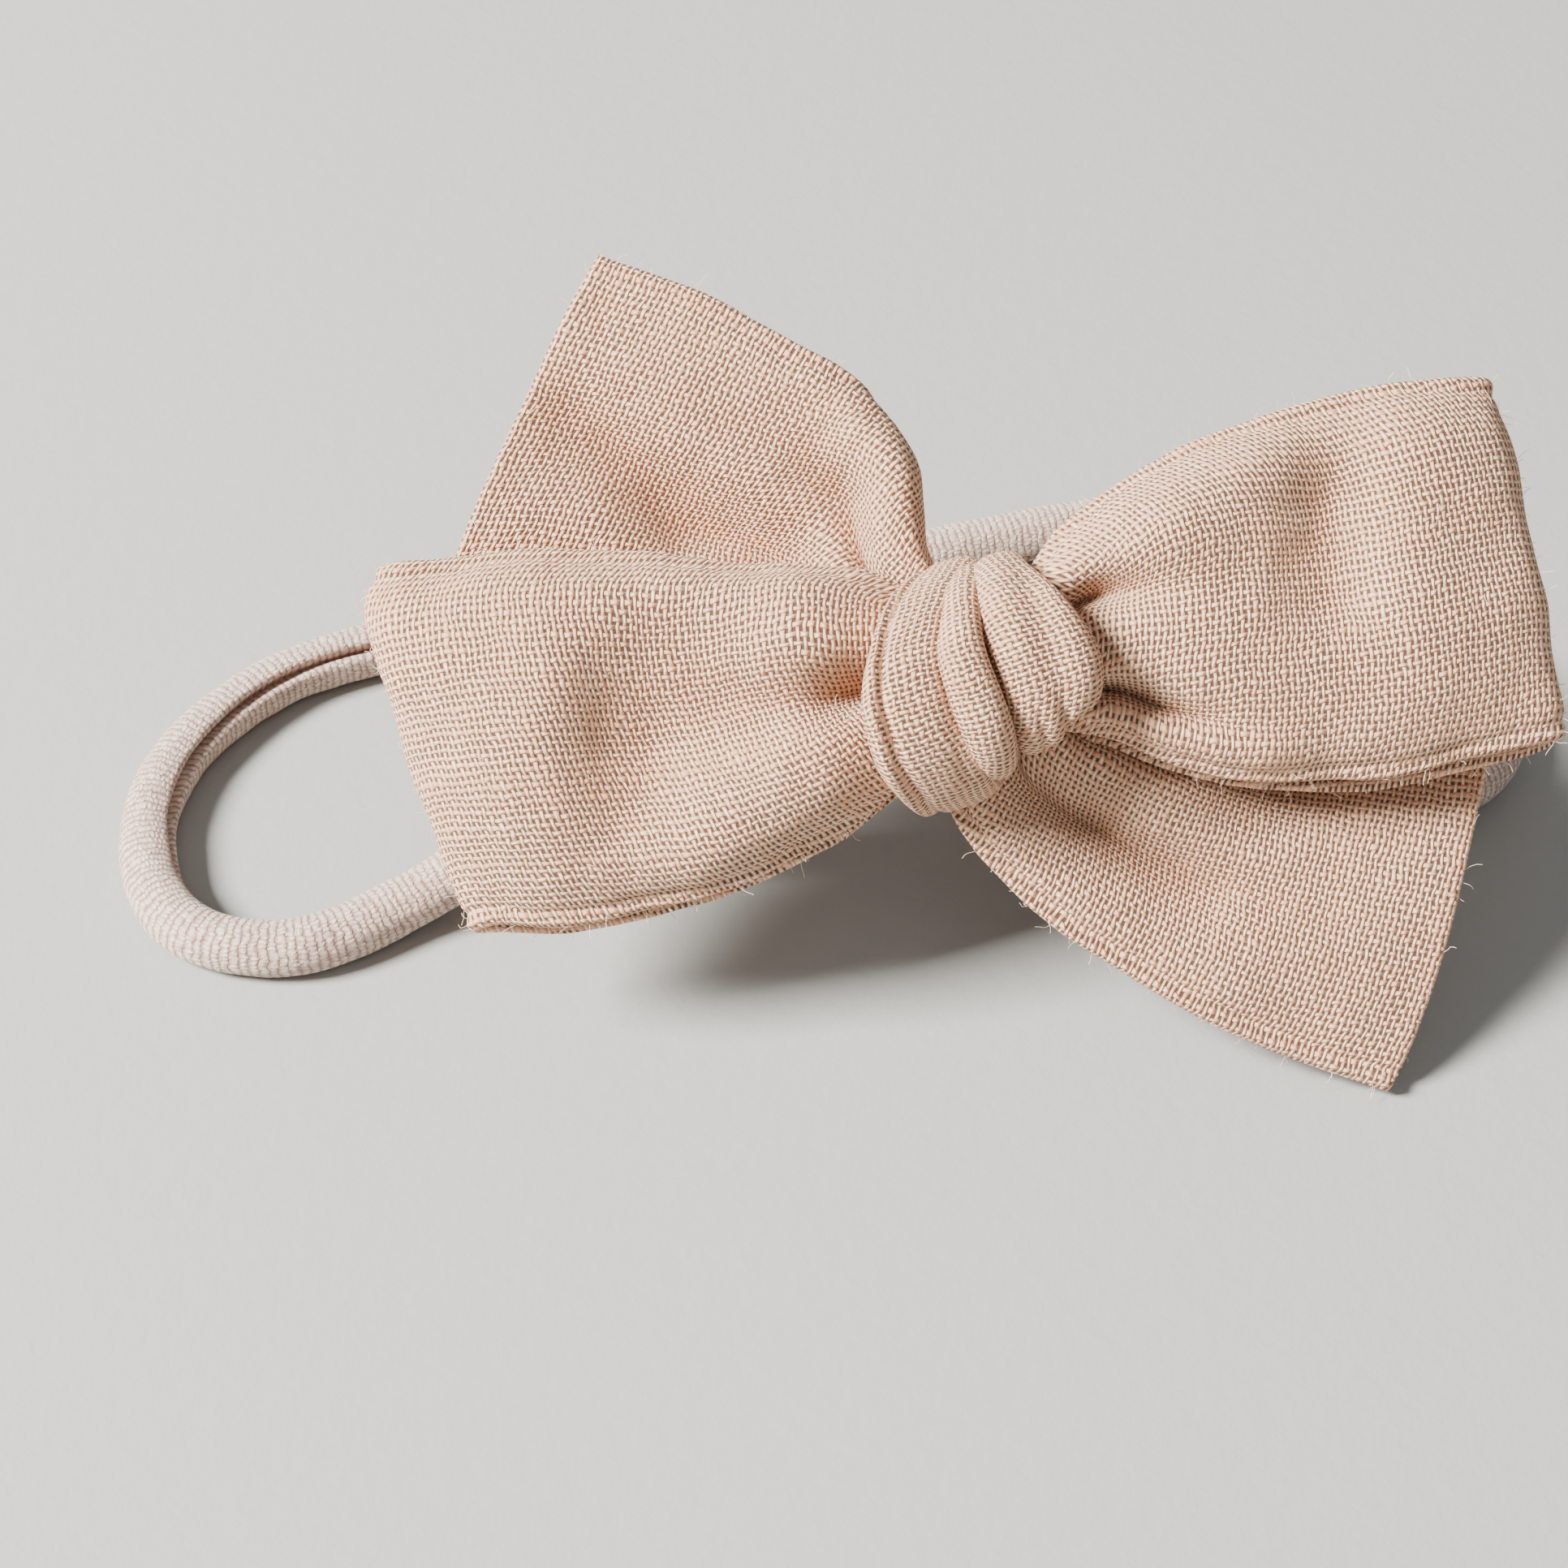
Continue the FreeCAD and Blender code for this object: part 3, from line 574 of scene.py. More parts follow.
lowerLeftCloth = clothPiece("lower_left_loop_cloth", loopNet(lowerLeftLoop), lowerLeftLoop)
upperRightCloth = clothPiece("upper_right_loop_cloth", loopNet(upperRightLoop), upperRightLoop)
upperLeftCloth = clothPiece("upper_left_tail_cloth", upperLeftTail["net"], upperLeftTail)
lowerRightCloth = clothPiece("lower_right_tail_cloth", lowerRightTail["net"], lowerRightTail)
print("loops and tails made")

# the knot's rolls of cloth. A station is an angle round the knot from its front, a place along
# the knot, an outer radius, a half width and a thickness
leftWrap = {
    "stations": [(118, 1.4, 8.8, 2.6, 3.4), (90, 1.0, 10.9, 3.1, 4.2), (66, -1.1, 11.3, 3.5, 4.6),
                 (45, -3.6, 11.4, 3.7, 4.8), (24, -5.7, 11.2, 3.7, 4.8), (3, -6.7, 11.0, 3.9, 4.8),
                 (-17, -6.8, 11.0, 4.2, 4.8), (-37, -6.2, 11.1, 4.5, 4.8), (-60, -5.2, 11.0, 4.4, 4.6),
                 (-88, -4.0, 10.4, 3.9, 4.2), (-116, -3.4, 8.6, 3.2, 3.4)],
    "piping": 0.62, "ends": [(-20, -150), (20, -150)], "tucks": [], "endDrop": 0.0, "flat": 0.74,
    "uvStart": np.array([1.4, 0.9]), "seed": 2.2, "dents": [(-3.4, 1.0, 0.35, -70, 10)],
}
middleFold = {
    "stations": [(116, 3.0, 8.0, 1.3, 2.6), (88, 2.5, 10.0, 1.5, 3.0), (60, 1.5, 11.0, 1.8, 3.4),
                 (36, 0.0, 11.6, 2.0, 3.8), (16, -1.0, 12.0, 2.15, 4.2), (-6, -1.0, 12.2, 2.3, 4.5),
                 (-27, -0.7, 12.0, 2.3, 4.5), (-46, -0.5, 11.4, 2.0, 4.0), (-60, -0.4, 10.4, 1.6, 3.4),
                 (-74, -0.2, 8.8, 1.2, 2.8)],
    "piping": 0.0, "ends": [(-20, -150), (20, -150)], "tucks": [], "endDrop": 0.0, "flat": 0.95,
    "uvStart": np.array([1.6, 0.9]), "seed": 4.4, "dents": [],
}
rightWrap = {
    "stations": [(116, 5.2, 8.4, 2.0, 3.2), (88, 5.0, 10.2, 2.4, 4.2), (64, 4.7, 11.2, 2.8, 5.0),
                 (48, 4.8, 11.6, 3.3, 5.4), (28, 5.2, 11.7, 4.0, 5.8), (5, 5.8, 11.4, 4.6, 5.8),
                 (-14, 5.9, 11.1, 4.7, 5.6), (-30, 5.6, 10.9, 4.3, 5.2), (-44, 4.8, 10.5, 3.5, 4.8),
                 (-58, 4.2, 9.6, 2.7, 4.2), (-76, 3.8, 7.8, 2.0, 3.2)],
    # where the tucked end turns in at each place along the knot, the tucks in it (place, width,
    # depth), and dents (place, width, depth, first and last angle)
    "piping": 0.0, "ends": [(-20, -54), (2.6, -53), (4.6, -45), (6.2, -37), (7.4, -29), (20, -23)],
    "tucks": [(3.9, 0.42, 0.45), (6.2, 0.46, 0.75)], "endDrop": 3.0, "flat": 0.86,
    "uvStart": np.array([1.8, 0.9]), "seed": 6.6, "dents": [(6.5, 1.5, 0.9, -34, 78)],
}
backWrap = {
    "stations": [(262, -1.5, 9.6, 4.2, 2.0), (240, -1.0, 11.6, 5.6, 2.0), (215, -0.5, 13.6, 6.2, 1.8),
                 (180, 0.0, 14.5, 6.4, 1.7), (145, 0.5, 13.6, 6.2, 1.8), (120, 1.0, 11.6, 5.4, 2.0),
                 (98, 1.6, 9.4, 4.0, 2.0)],
    "piping": 0.3, "ends": [(-20, -150), (20, -150)], "tucks": [], "endDrop": 0.0, "flat": 0.74,
    "uvStart": np.array([2.0, 0.9]), "seed": 7.7, "dents": [],
}


def wrapPiece(name, wrap):
    # a flattened roll of the strip round the knot's own axis
    rows, around = 150, 112
    stations = throughPoints(wrap["stations"], np.linspace(0, len(wrap["stations"]) - 1, rows))
    theta = np.linspace(0, 2 * math.pi, around, endpoint=False)
    sideways = np.sign(np.cos(theta)) * abs(np.cos(theta)) ** wrap["flat"]
    upwards = np.sign(np.sin(theta)) * abs(np.sin(theta)) ** wrap["flat"]
    outer = np.clip(upwards, 0, 1) ** 0.5
    rounding = edgeRounding(np.minimum(np.arange(rows), np.arange(rows)[::-1]), 7.0)
    # painted shade along the sides and underside of each roll, where it presses against the rolls beside it
    side = np.clip((abs(sideways) - 0.80) / 0.20, 0, 1) * np.clip(1.2 - upwards, 0, 1)
    rings, uvs, before, reach = [], [], None, 0.0
    for i, (degrees, place, radius, half, thick) in enumerate(stations):
        along = place + sideways * half * rounding[i]
        # the piped edge and the groove beside it
        piping = wrap["piping"] * math.sin(math.pi * (i + 1) / (rows + 1)) ** 0.7
        lift = upwards * thick / 2 + piping * outer * bellAt(sideways, -0.82, 0.12)
        lift = lift - piping * 1.1 * outer * bellAt(sideways, -0.52, 0.09)
        past = np.clip((np.interp(along, *zip(*wrap["ends"])) - degrees) / 24, 0, 1)
        drop = past * past * (3 - 2 * past)
        lift = lift - wrap["endDrop"] * drop * np.clip(upwards + 0.6, 0, 1)
        for at, wide, deep, first, last in wrap["dents"]:
            share = min(max((degrees - first) / (last - first), 0), 1)
            lift = lift - deep * math.sin(math.pi * share) * outer * bellAt(along, at, wide)
        low = np.clip((-degrees - 12) / 24, 0, 1)
        for at, wide, deep in wrap["tucks"]:
            lift = lift - deep * low * outer * bellAt(along, at, wide)
        rho = radius - thick / 2 + lift * rounding[i]
        angle = math.radians(degrees)
        u, v = turnedByKnot(along, rho * math.sin(angle))
        ring = np.stack([u, v, rho * math.cos(angle)], axis=1)
        for k, spot in enumerate(ring):
            ring[k] *= 1 + 0.02 * noise.noise(Vector(spot) * 0.22 + Vector((wrap["seed"], 0, 0)))
        middle = ring.mean(axis=0)
        if before is not None:
            reach += np.linalg.norm(middle - before) * radius / max(radius - thick / 2, 1)
        before = middle
        rings.append(ring)
        walk = lengthsAlong(np.stack([along, upwards * thick / 2, 0 * lift], axis=1)[None], 1)[0]
        uvs.append(np.stack([np.full(around, reach), walk], axis=1))
    # each end closes to a point
    rings.insert(0, np.repeat(rings[0].mean(axis=0, keepdims=True), around, axis=0))
    rings.append(np.repeat(rings[-1].mean(axis=0, keepdims=True), around, axis=0))
    uv = np.concatenate([uvs[0]] + uvs + [uvs[-1]]) * mm + wrap["uvStart"]
    return meshPiece(name, inMetres(np.concatenate(rings)), tubeFaces(len(rings), around), uv,
                     linenCloth, fold=np.tile(side, len(rings)))


knotPieces = {
    "knot_left_wrap": wrapPiece("knot_left_wrap_cloth", leftWrap),
    "knot_middle_fold": wrapPiece("knot_middle_fold_cloth", middleFold),
    "knot_right_wrap": wrapPiece("knot_right_wrap_cloth", rightWrap),
    "knot_back_wrap": wrapPiece("knot_back_wrap_cloth", backWrap),
}

knotCore = {"length": 15.4, "radius": 6.0, "pleats": 7, "pleatDepth": 0.55, "slack": 0.4, "fold": 0.6,
            "rings": 60, "around": 96, "uvStart": np.array([2.3, 0.9])}


def corePiece():
    # the strip squeezed together inside the knot, pleated along its own length
    around = knotCore["around"]
    theta = np.linspace(0, 2 * math.pi, around, endpoint=False)
    verts, uvs = [], []
    for share in np.linspace(-1, 1, knotCore["rings"]):
        radius = knotCore["radius"] * max(1 - abs(share) ** 2.6, 0) ** 0.5
        pleat = np.sin(knotCore["pleats"] * theta + 1.1 * share) * knotCore["pleatDepth"]
        pleat = pleat + knotCore["slack"] * np.sin(3 * theta - 2.0 * share)
        reach = radius * (1 + pleat / knotCore["radius"])
        along = share * knotCore["length"] / 2
        u, v = turnedByKnot(along, reach * np.sin(theta))
        verts.append(np.stack([u, v, reach * np.cos(theta)], axis=1))
        uvs.append(np.stack([np.full(around, along), theta * knotCore["radius"]], axis=1))
    points = np.concatenate(verts)
    # painted shade: the whole core is darkened, as it lies deep inside the knot
    return meshPiece("knot_core_cloth", inMetres(points), tubeFaces(knotCore["rings"], around),
                     np.concatenate(uvs) * mm + knotCore["uvStart"], linenCloth,
                     fold=np.full(len(points), knotCore["fold"]))


knotPieces["knot_core"] = corePiece()
print("knot made")

# nylon: a strip of stretch knit curled into a tube, with its cleft inside the ring
nylon = {
    # the knit darkens from the high colour to the low one where its surface sinks, which is painted shade;
    # the cleft colour is painted shade in the cleft
    "knit": {"Row pitch": 0.80, "Pebble pitch": 0.46}, "bump": 0.32, "high": rgb(240, 219, 203),
    "low": rgb(126, 97, 84), "blush": rgb(210, 172, 154), "cleft": rgb(150, 104, 88),
    "finish": {"Specular IOR Level": 0.25, "Sheen Weight": 0.35, "Sheen Roughness": 0.45,
               "Sheen Tint": rgb(255, 244, 236), "Subsurface Weight": 0.12,
               "Subsurface Radius": (1.0, 0.55, 0.4), "Subsurface Scale": 0.0008},
}


def makeKnit():
    # short raised rows across the strip, broken up into pebbles
    tree, w, given, along, across = clothGroup(
        "brushed knit", {"Row pitch": 0.8, "Pebble pitch": 0.46}, ["Height", "Pebble tone"])
    plane = w.join(along, across)
    along, across = w.swayed(along, across, plane, 0.9, 3.0, (0.9, 0.6))
    x = w.over(along, given["Row pitch"])
    # every other row starts half a pebble on
    shift = w.math("FRACT", w.times(w.math("FLOOR", x), 0.5))
    y = w.plus(w.over(across, given["Pebble pitch"]), shift)

    def hump(place):
        off = w.minus(w.math("FRACT", place), 0.5)
        return w.minus(1.0, w.times(w.times(off, off), 4.0))

    cells = w.node("ShaderNodeTexVoronoi", {"Vector": w.join(x, y), "Scale": 1.0, "Randomness": 0.55},
                   feature="F1").outputs
    pebble = w.spread(cells["Distance"], 0.0, 0.62, 1.0, 0.0)
    height = w.plus(w.times(hump(x), 0.42), w.times(pebble, 0.45))
    height = w.plus(height, w.times(hump(y), 0.16))
    fluff = w.noise(plane, 6.0, 3.0, 0.65)
    w.node("NodeGroupOutput", {"Height": w.plus(height, w.times(w.minus(fluff, 0.5), 0.55)),
                               "Pebble tone": w.split(cells["Color"])[0]})
    return tree


brushedKnit = makeKnit()


def makeNylon():
    material, w, shader = newMaterial("nylon knit", nylon["finish"])
    cloth = w.first("ShaderNodeUVMap", uv_map="cloth")
    knit = w.node("ShaderNodeGroup", {"Cloth": cloth, **nylon["knit"]}, node_tree=brushedKnit).outputs
    height = knit["Height"]
    # painted shade: the knit is dark where it sinks between its rows and pebbles
    colour = w.blend(w.spread(height, 0.20, 0.82), nylon["low"], nylon["high"])
    tone = w.spread(knit["Pebble tone"], 0.0, 1.0, 0.0, 0.35)
    colour = w.blend(tone, colour, nylon["blush"])
    # painted shade inside the cleft of the curled tube
    cleft = w.node("ShaderNodeAttribute", attribute_name="cleft").outputs["Fac"]
    w.wire(shader, {"Base Color": w.blend(w.times(cleft, 0.75), colour, nylon["cleft"]),
                    "Roughness": w.spread(height, 0.1, 1.0, 0.95, 0.8),
                    "Normal": raised(w, height, 0.9, nylon["bump"])})
    return material


nylonKnit = makeNylon()

band = {
    "radius": 2.75, "behind": 9.85, "wide": 139.0, "deep": 71.5, "floor": 2.55, "lumps": 0.5,
    "cleftDepth": 1.9, "cleftWidth": 0.020, "cleftTurn": 0.92, "lipAt": 0.055, "lipWidth": 0.03,
    "lipRise": 0.035, "steps": 880, "around": 56,
    # shares of the ring's width, depth and height from where it passes the knot, and its twist
    "route": [(-.105, 0, 1, 0), (-.200, -.008, .78, 0), (-.290, -.030, .28, .2),
              (-.375, -.105, 0, .5), (-.460, -.213, 0, .6), (-.556, -.155, 0, .3),
              (-.583, .097, 0, 0), (-.517, .320, 0, -.3), (-.405, .420, 0, -.3),
              (-.200, .480, 0, .5), (.030, .635, 0, 1.0), (.240, .740, 0, .9), (.370, .640, 0, .5),
              (.410, .390, 0, 0), (.400, .160, 0, 0), (.330, .040, .10, 0), (.225, 0, .60, 0),
              (.105, 0, 1, 0)],
}


def bandLine():
    # the ring's middle line
    curve = bpy.data.curves.new("band line", "CURVE")
    curve.dimensions = "3D"
    curve.resolution_u = 24
    line = curve.splines.new("NURBS")
    line.points.add(len(band["route"]) - 1)
    passing = inMetres([0, 0, -band["behind"]])
    low = band["floor"] * mm
    for point, (across, back, up, twist) in zip(line.points, band["route"]):
        point.tilt = twist
        point.co = (passing[0] + across * band["wide"] * mm, passing[1] + back * band["deep"] * mm,
                    low + up * (passing[2] - low), 1)
    line.use_cyclic_u = True
    line.order_u = 3
    piece = bpy.data.objects.new("band line", curve)
    bpy.context.collection.objects.link(piece)
    return piece


def finished(piece, name):
    # the result of a piece's nodes as a plain mesh
    bpy.context.view_layer.update()
    seen = piece.evaluated_get(bpy.context.evaluated_depsgraph_get())
    mesh = bpy.data.meshes.new_from_object(seen)
    bpy.data.objects.remove(piece)
    mesh.name = name
    made = bpy.data.objects.new(name, mesh)
    bpy.context.collection.objects.link(made)
    return made


def addNodes(piece, tree, values):
    modifier = piece.modifiers.new(tree.name, "NODES")
    modifier.node_group = tree
    for item in tree.interface.items_tree:
        if item.item_type == "SOCKET" and item.in_out == "INPUT" and item.name in values:
            modifier[item.identifier] = values[item.name]


def nodeTree(name, floats, counts):
    # a geometry tree with its named inputs: sizes, whole numbers and a material
    tree = bpy.data.node_groups.new(name, "GeometryNodeTree")
    tree.is_modifier = True
    socket(tree, "Geometry", "INPUT", "NodeSocketGeometry")
    for label, value in floats.items():
        socket(tree, label, "INPUT", "NodeSocketFloat", value)
    for label, value in counts.items():
        socket(tree, label, "INPUT", "NodeSocketInt", value)
    socket(tree, "Material", "INPUT", "NodeSocketMaterial")
    socket(tree, "Geometry", "OUTPUT", "NodeSocketGeometry")
    w = Wiring(tree)
    return tree, w, w.node("NodeGroupInput").outputs


def stored(w, geometry, name, value, kind="FLOAT", domain="POINT"):
    return w.first("GeometryNodeStoreNamedAttribute", {"Geometry": geometry, "Name": name,
                                                       "Value": value}, data_type=kind, domain=domain)


def moved(w, geometry, how, value):
    # points put at a new Position, or shifted by an Offset
    return w.first("GeometryNodeSetPosition", {"Geometry": geometry, how: value})


def madeReal(w, geometry):
    real = w.first("GeometryNodeRealizeInstances", {0: geometry})
    w.node("NodeGroupOutput", {"Geometry": real})


def painted(w, geometry, material):
    return w.first("GeometryNodeSetMaterial", {"Geometry": geometry, "Material": material})


def bellNodes(w, value):
    return w.math("EXPONENT", w.times(w.times(value, value), -1.0))


def makeCurledTube():
    tree, w, given = nodeTree("curled tube", {
        "Radius": 0.00275, "Cleft depth": 0.0019, "Cleft width": 0.02, "Cleft turn": 0.0},
        {"Steps": 800, "Around": 48})
    line = w.first("GeometryNodeResampleCurve", {"Curve": given["Geometry"], "Count": given["Steps"]})
    upright = w.first("GeometryNodeSetCurveNormal", {"Curve": line}, mode="Z_UP")
    reach = w.node("GeometryNodeSplineParameter").outputs["Length"]
    marked = stored(w, upright, "reach", reach)
    ring = w.node("GeometryNodeCurvePrimitiveCircle", {"Resolution": given["Around"],
                                                       "Radius": given["Radius"]}).outputs["Curve"]
    turn = w.node("GeometryNodeSplineParameter").outputs["Factor"]
    profile = stored(w, ring, "turn", turn)
    # how far round the tube a point is from the cleft, and the lips on both sides of it
    off = w.math("FRACT", w.plus(w.minus(turn, given["Cleft turn"]), 0.5))
    off = w.minus(off, 0.5)
    notch = bellNodes(w, w.over(off, given["Cleft width"]))
    lip = bellNodes(w, w.over(w.minus(w.math("ABSOLUTE", off), band["lipAt"]), band["lipWidth"]))
    scale = w.minus(1.0, w.times(notch, w.over(given["Cleft depth"], given["Radius"])))
    scale = w.plus(scale, w.times(lip, band["lipRise"]))
    # the notch is kept to paint shade into the cleft
    profile = stored(w, profile, "cleft", notch)
    place = w.first("GeometryNodeInputPosition")
    profile = moved(w, profile, "Position", w.scaled(place, scale))
    tube = w.first("GeometryNodeCurveToMesh", {"Curve": marked, "Profile Curve": profile})
    # unevenness of the hand-curled strip, and the surface that it lies on
    lump = w.node("ShaderNodeTexNoise", {"Scale": 170.0, "Detail": 2.0}).outputs["Fac"]
    push = w.times(w.minus(lump, 0.5), band["lumps"] * mm)
    tube = moved(w, tube, "Offset", w.scaled(w.first("GeometryNodeInputNormal"), push))
    x, y, z = w.split(w.first("GeometryNodeInputPosition"))
    soft = w.math("SQRT", w.plus(w.times(z, z), settling))
    tube = moved(w, tube, "Position", w.join(x, y, w.times(w.plus(z, soft), 0.5)))

    def unrolled(name, whole):
        # a face where the count starts again carries on from the one before
        value = w.first("GeometryNodeInputNamedAttribute", {"Name": name}, data_type="FLOAT")
        mean = w.first("GeometryNodeFieldOnDomain", {0: value}, data_type="FLOAT", domain="FACE")
        wraps = w.math("GREATER_THAN", w.minus(mean, value), w.times(whole, 0.25))
        return w.plus(value, w.times(wraps, whole))

    length = w.node("GeometryNodeSplineLength").outputs["Length"]
    whole = w.node("GeometryNodeAttributeStatistic", {"Geometry": given["Geometry"],
                                                      "Attribute": length},
                   data_type="FLOAT", domain="CURVE").outputs["Max"]
    girth = w.times(given["Radius"], 2 * math.pi)
    unwrapped = w.join(unrolled("reach", whole), w.times(unrolled("turn", 1.0), girth))
    tube = stored(w, tube, "cloth", unwrapped, "FLOAT2", "CORNER")
    smooth = w.first("GeometryNodeSetShadeSmooth", {"Geometry": tube})
    madeReal(w, painted(w, smooth, given["Material"]))
    return tree


def makeBand():
    line = bandLine()
    centre = bpy.data.meshes.new_from_object(line)
    points = np.array([v.co for v in centre.vertices])
    bpy.data.meshes.remove(centre)
    addNodes(line, makeCurledTube(), {
        "Radius": band["radius"] * mm, "Cleft depth": band["cleftDepth"] * mm,
        "Cleft width": band["cleftWidth"], "Cleft turn": band["cleftTurn"], "Steps": band["steps"],
        "Around": band["around"], "Material": nylonKnit})
    return finished(line, "nylon_band"), points


bandPiece, bandPoints = makeBand()
print("band made", len(bandPiece.data.polygons))

# sewing thread: the tacks behind the knot, and the band's joining seam
thread = {"radius": 0.11, "colour": rgb(236, 200, 176), "shadeAndTone": rgb(196, 150, 124),
          "finish": {"Roughness": 0.45, "Sheen Weight": 0.1}}


def makeThread():
    material, w, shader = newMaterial("sewing thread", thread["finish"])
    # painted shade: the plies darken where they sink, following the same noise as their bump
    plies = w.noise(w.node("ShaderNodeTexCoord").outputs["Object"], 5200.0)
    w.wire(shader, {"Base Color": w.blend(plies, thread["shadeAndTone"], thread["colour"]),
                    "Normal": raised(w, plies, 0.6, 0.05)})
    return material


sewingThread = makeThread()
tacks = {"count": 3, "spacing": 2.6, "length": 4.0, "radius": 0.20, "turns": 15.0, "behind": 14.75,
         "dip": 0.75}
joining = {"reach": 2.4, "radius": 3.02, "sunk": 2.45, "pinch": 0.10, "zigzags": 13, "width": 2.0,
           "proud": 0.04, "rise": 0.12, "around": 64, "steps": 40}


def sweptThread(w, line, radius, material, sides=6):
    # a curve as a closed thread of the material
    ring = w.node("GeometryNodeCurvePrimitiveCircle", {"Resolution": sides, "Radius": radius})
    sweep = w.first("GeometryNodeCurveToMesh", {"Curve": line, "Profile Curve": ring.outputs["Curve"],
                                                "Fill Caps": True})
    return painted(w, sweep, material)


def makeWoundBars():
    tree, w, given = nodeTree("wound thread bars", {
        "Spacing": 0.0026, "Bar length": 0.004, "Bar radius": 0.0002, "Thread radius": 0.0001,
        "Turns": 15.0, "Dip": 0.0007}, {"Bars": 3})
    coil = w.first("GeometryNodeCurveSpiral", {
        "Resolution": 10, "Rotations": given["Turns"], "Start Radius": given["Bar radius"],
        "End Radius": given["Bar radius"], "Height": given["Bar length"]})
    _, _, z = w.split(w.first("GeometryNodeInputPosition"))
    share = w.minus(w.times(w.over(z, given["Bar length"]), 2.0), 1.0)
    dip = w.times(w.math("POWER", w.math("ABSOLUTE", share), 4.0), given["Dip"])
    bent = moved(w, coil, "Offset", w.join(0.0, w.times(dip, -1.0)))
    bar = sweptThread(w, bent, given["Thread radius"], given["Material"])
    row = w.first("GeometryNodeMeshLine", {"Count": given["Bars"],
                                           "Offset": w.join(given["Spacing"], 0.0)})
    madeReal(w, w.first("GeometryNodeInstanceOnPoints", {"Points": row, "Instance": bar}))
    return tree


def makeZigzagRing():
    tree, w, given = nodeTree("zigzag ring", {
        "Ring radius": 0.003, "Width": 0.002, "Thread radius": 0.0001}, {"Zigzags": 13})
    ring = w.node("GeometryNodeCurvePrimitiveCircle", {
        "Resolution": w.times(given["Zigzags"], 2.0), "Radius": given["Ring radius"]}).outputs["Curve"]
    odd = w.minus(w.math("MODULO", w.first("GeometryNodeInputIndex"), 2.0), 0.5)
    crossed = moved(w, ring, "Offset", w.join(0.0, 0.0, w.times(odd, given["Width"])))
    finer = w.first("GeometryNodeSubdivideCurve", {"Curve": crossed, "Cuts": 5})
    # each stitch is brought back to the ring's radius, and stands proud in its middle
    x, y, z = w.split(w.first("GeometryNodeInputPosition"))
    flat = w.math("SQRT", w.plus(w.times(x, x), w.times(y, y)))
    share = w.over(w.times(z, 2.0), given["Width"])
    proud = w.times(w.minus(1.0, w.times(share, share)), joining["rise"] * mm)
    wider = w.over(w.plus(given["Ring radius"], proud), flat)
    rounded = moved(w, finer, "Position", w.join(w.times(x, wider), w.times(y, wider), z))
    madeReal(w, sweptThread(w, rounded, given["Thread radius"], given["Material"]))
    return tree


def grown(name, tree, values, mesh=None):
    # a piece made by a geometry tree alone, or out of a mesh
    base = bpy.data.objects.new(name, mesh or bpy.data.meshes.new(name))
    bpy.context.collection.objects.link(base)
    addNodes(base, tree, values)
    return finished(base, name)


def placedAt(piece, origin, xAxis, yAxis, zAxis):
    axes = np.array([xAxis, yAxis, zAxis, origin]).T
    piece.data.transform(Matrix([*axes, [0, 0, 0, 1]]))


def aboveTable(mesh):
    for vert in mesh.vertices:
        z = vert.co.z
        vert.co.z = (z + math.sqrt(z * z + settling)) / 2


def makeTacks():
    bars = grown("tack_stitches_thread", makeWoundBars(), {
        "Bars": tacks["count"], "Spacing": tacks["spacing"] * mm, "Bar length": tacks["length"] * mm,
        "Bar radius": tacks["radius"] * mm, "Thread radius": thread["radius"] * mm,
        "Turns": tacks["turns"], "Dip": tacks["dip"] * mm, "Material": sewingThread})
    wide = tacks["spacing"] * (tacks["count"] - 1)
    placedAt(bars, inMetres([-wide / 2, -tacks["length"] / 2, -tacks["behind"]]), bowRight, -bowOut,
             bowUp)
    return bars


def makeJoining():
    # the lapped ends of the knit, and the zigzag sewn round them
    low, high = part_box("band_joining_seam")
    centre = (np.array(low) + np.array(high)) / 2
    closest = int(np.argmin(np.linalg.norm(bandPoints - centre, axis=1)))
    middle = bandPoints[closest]
    ahead = bandPoints[(closest + 1) % len(bandPoints)] - bandPoints[closest - 1]
    ahead = ahead / np.linalg.norm(ahead)
    sideways = np.cross(ahead, [0, 0, 1])
    sideways = sideways / np.linalg.norm(sideways)
    upwards = np.cross(sideways, ahead)
    verts, uvs = [], []
    for share in np.linspace(-1, 1, joining["steps"]):
        swell = math.sqrt(max(1 - share**4, 0))
        radius = joining["sunk"] + (joining["radius"] - joining["sunk"]) * swell
        radius = radius - joining["pinch"] * bellAt(share, 0, 0.12)
        radius = radius * (share * share < 1)
        along = share * joining["reach"] * mm
        for t in np.linspace(0, 2 * math.pi, joining["around"], endpoint=False):
            spot = sideways * math.cos(t) + upwards * math.sin(t)
            verts.append(middle + ahead * along + spot * radius * mm)
            uvs.append((along, t * joining["radius"] * mm))
    faces = tubeFaces(joining["steps"], joining["around"])
    lap = meshPiece("band_joining_lap", verts, faces, uvs, nylonKnit, cleft=np.zeros(len(verts)))
    zigzag = grown("band_joining_zigzag", makeZigzagRing(), {
        "Zigzags": joining["zigzags"], "Ring radius": (joining["radius"] + joining["proud"]) * mm,
        "Width": joining["width"] * mm, "Thread radius": thread["radius"] * mm,
        "Material": sewingThread})
    placedAt(zigzag, middle, sideways, upwards, -ahead)
    aboveTable(lap.data)
    aboveTable(zigzag.data)
    return lap, zigzag


tackPiece = makeTacks()
joiningLap, joiningZigzag = makeJoining()
print("seams sewn")

# stray fibres along the turned edges
fibres = {"perArea": 3.4e5, "length": 1.15, "thickness": 0.022, "bend": 0.55, "everywhere": 0.03,
          "root": 0.15, "low": rgb(236, 200, 172), "high": rgb(255, 236, 214)}


def makeFibreMaterial():
    material, w, shader = newMaterial("linen fibre", {"Roughness": 0.7})
    tone = w.noise(w.node("ShaderNodeTexCoord").outputs["Object"], 900.0, 1.0)
    w.wire(shader, {"Base Color": w.blend(tone, fibres["low"], fibres["high"])})
    return material


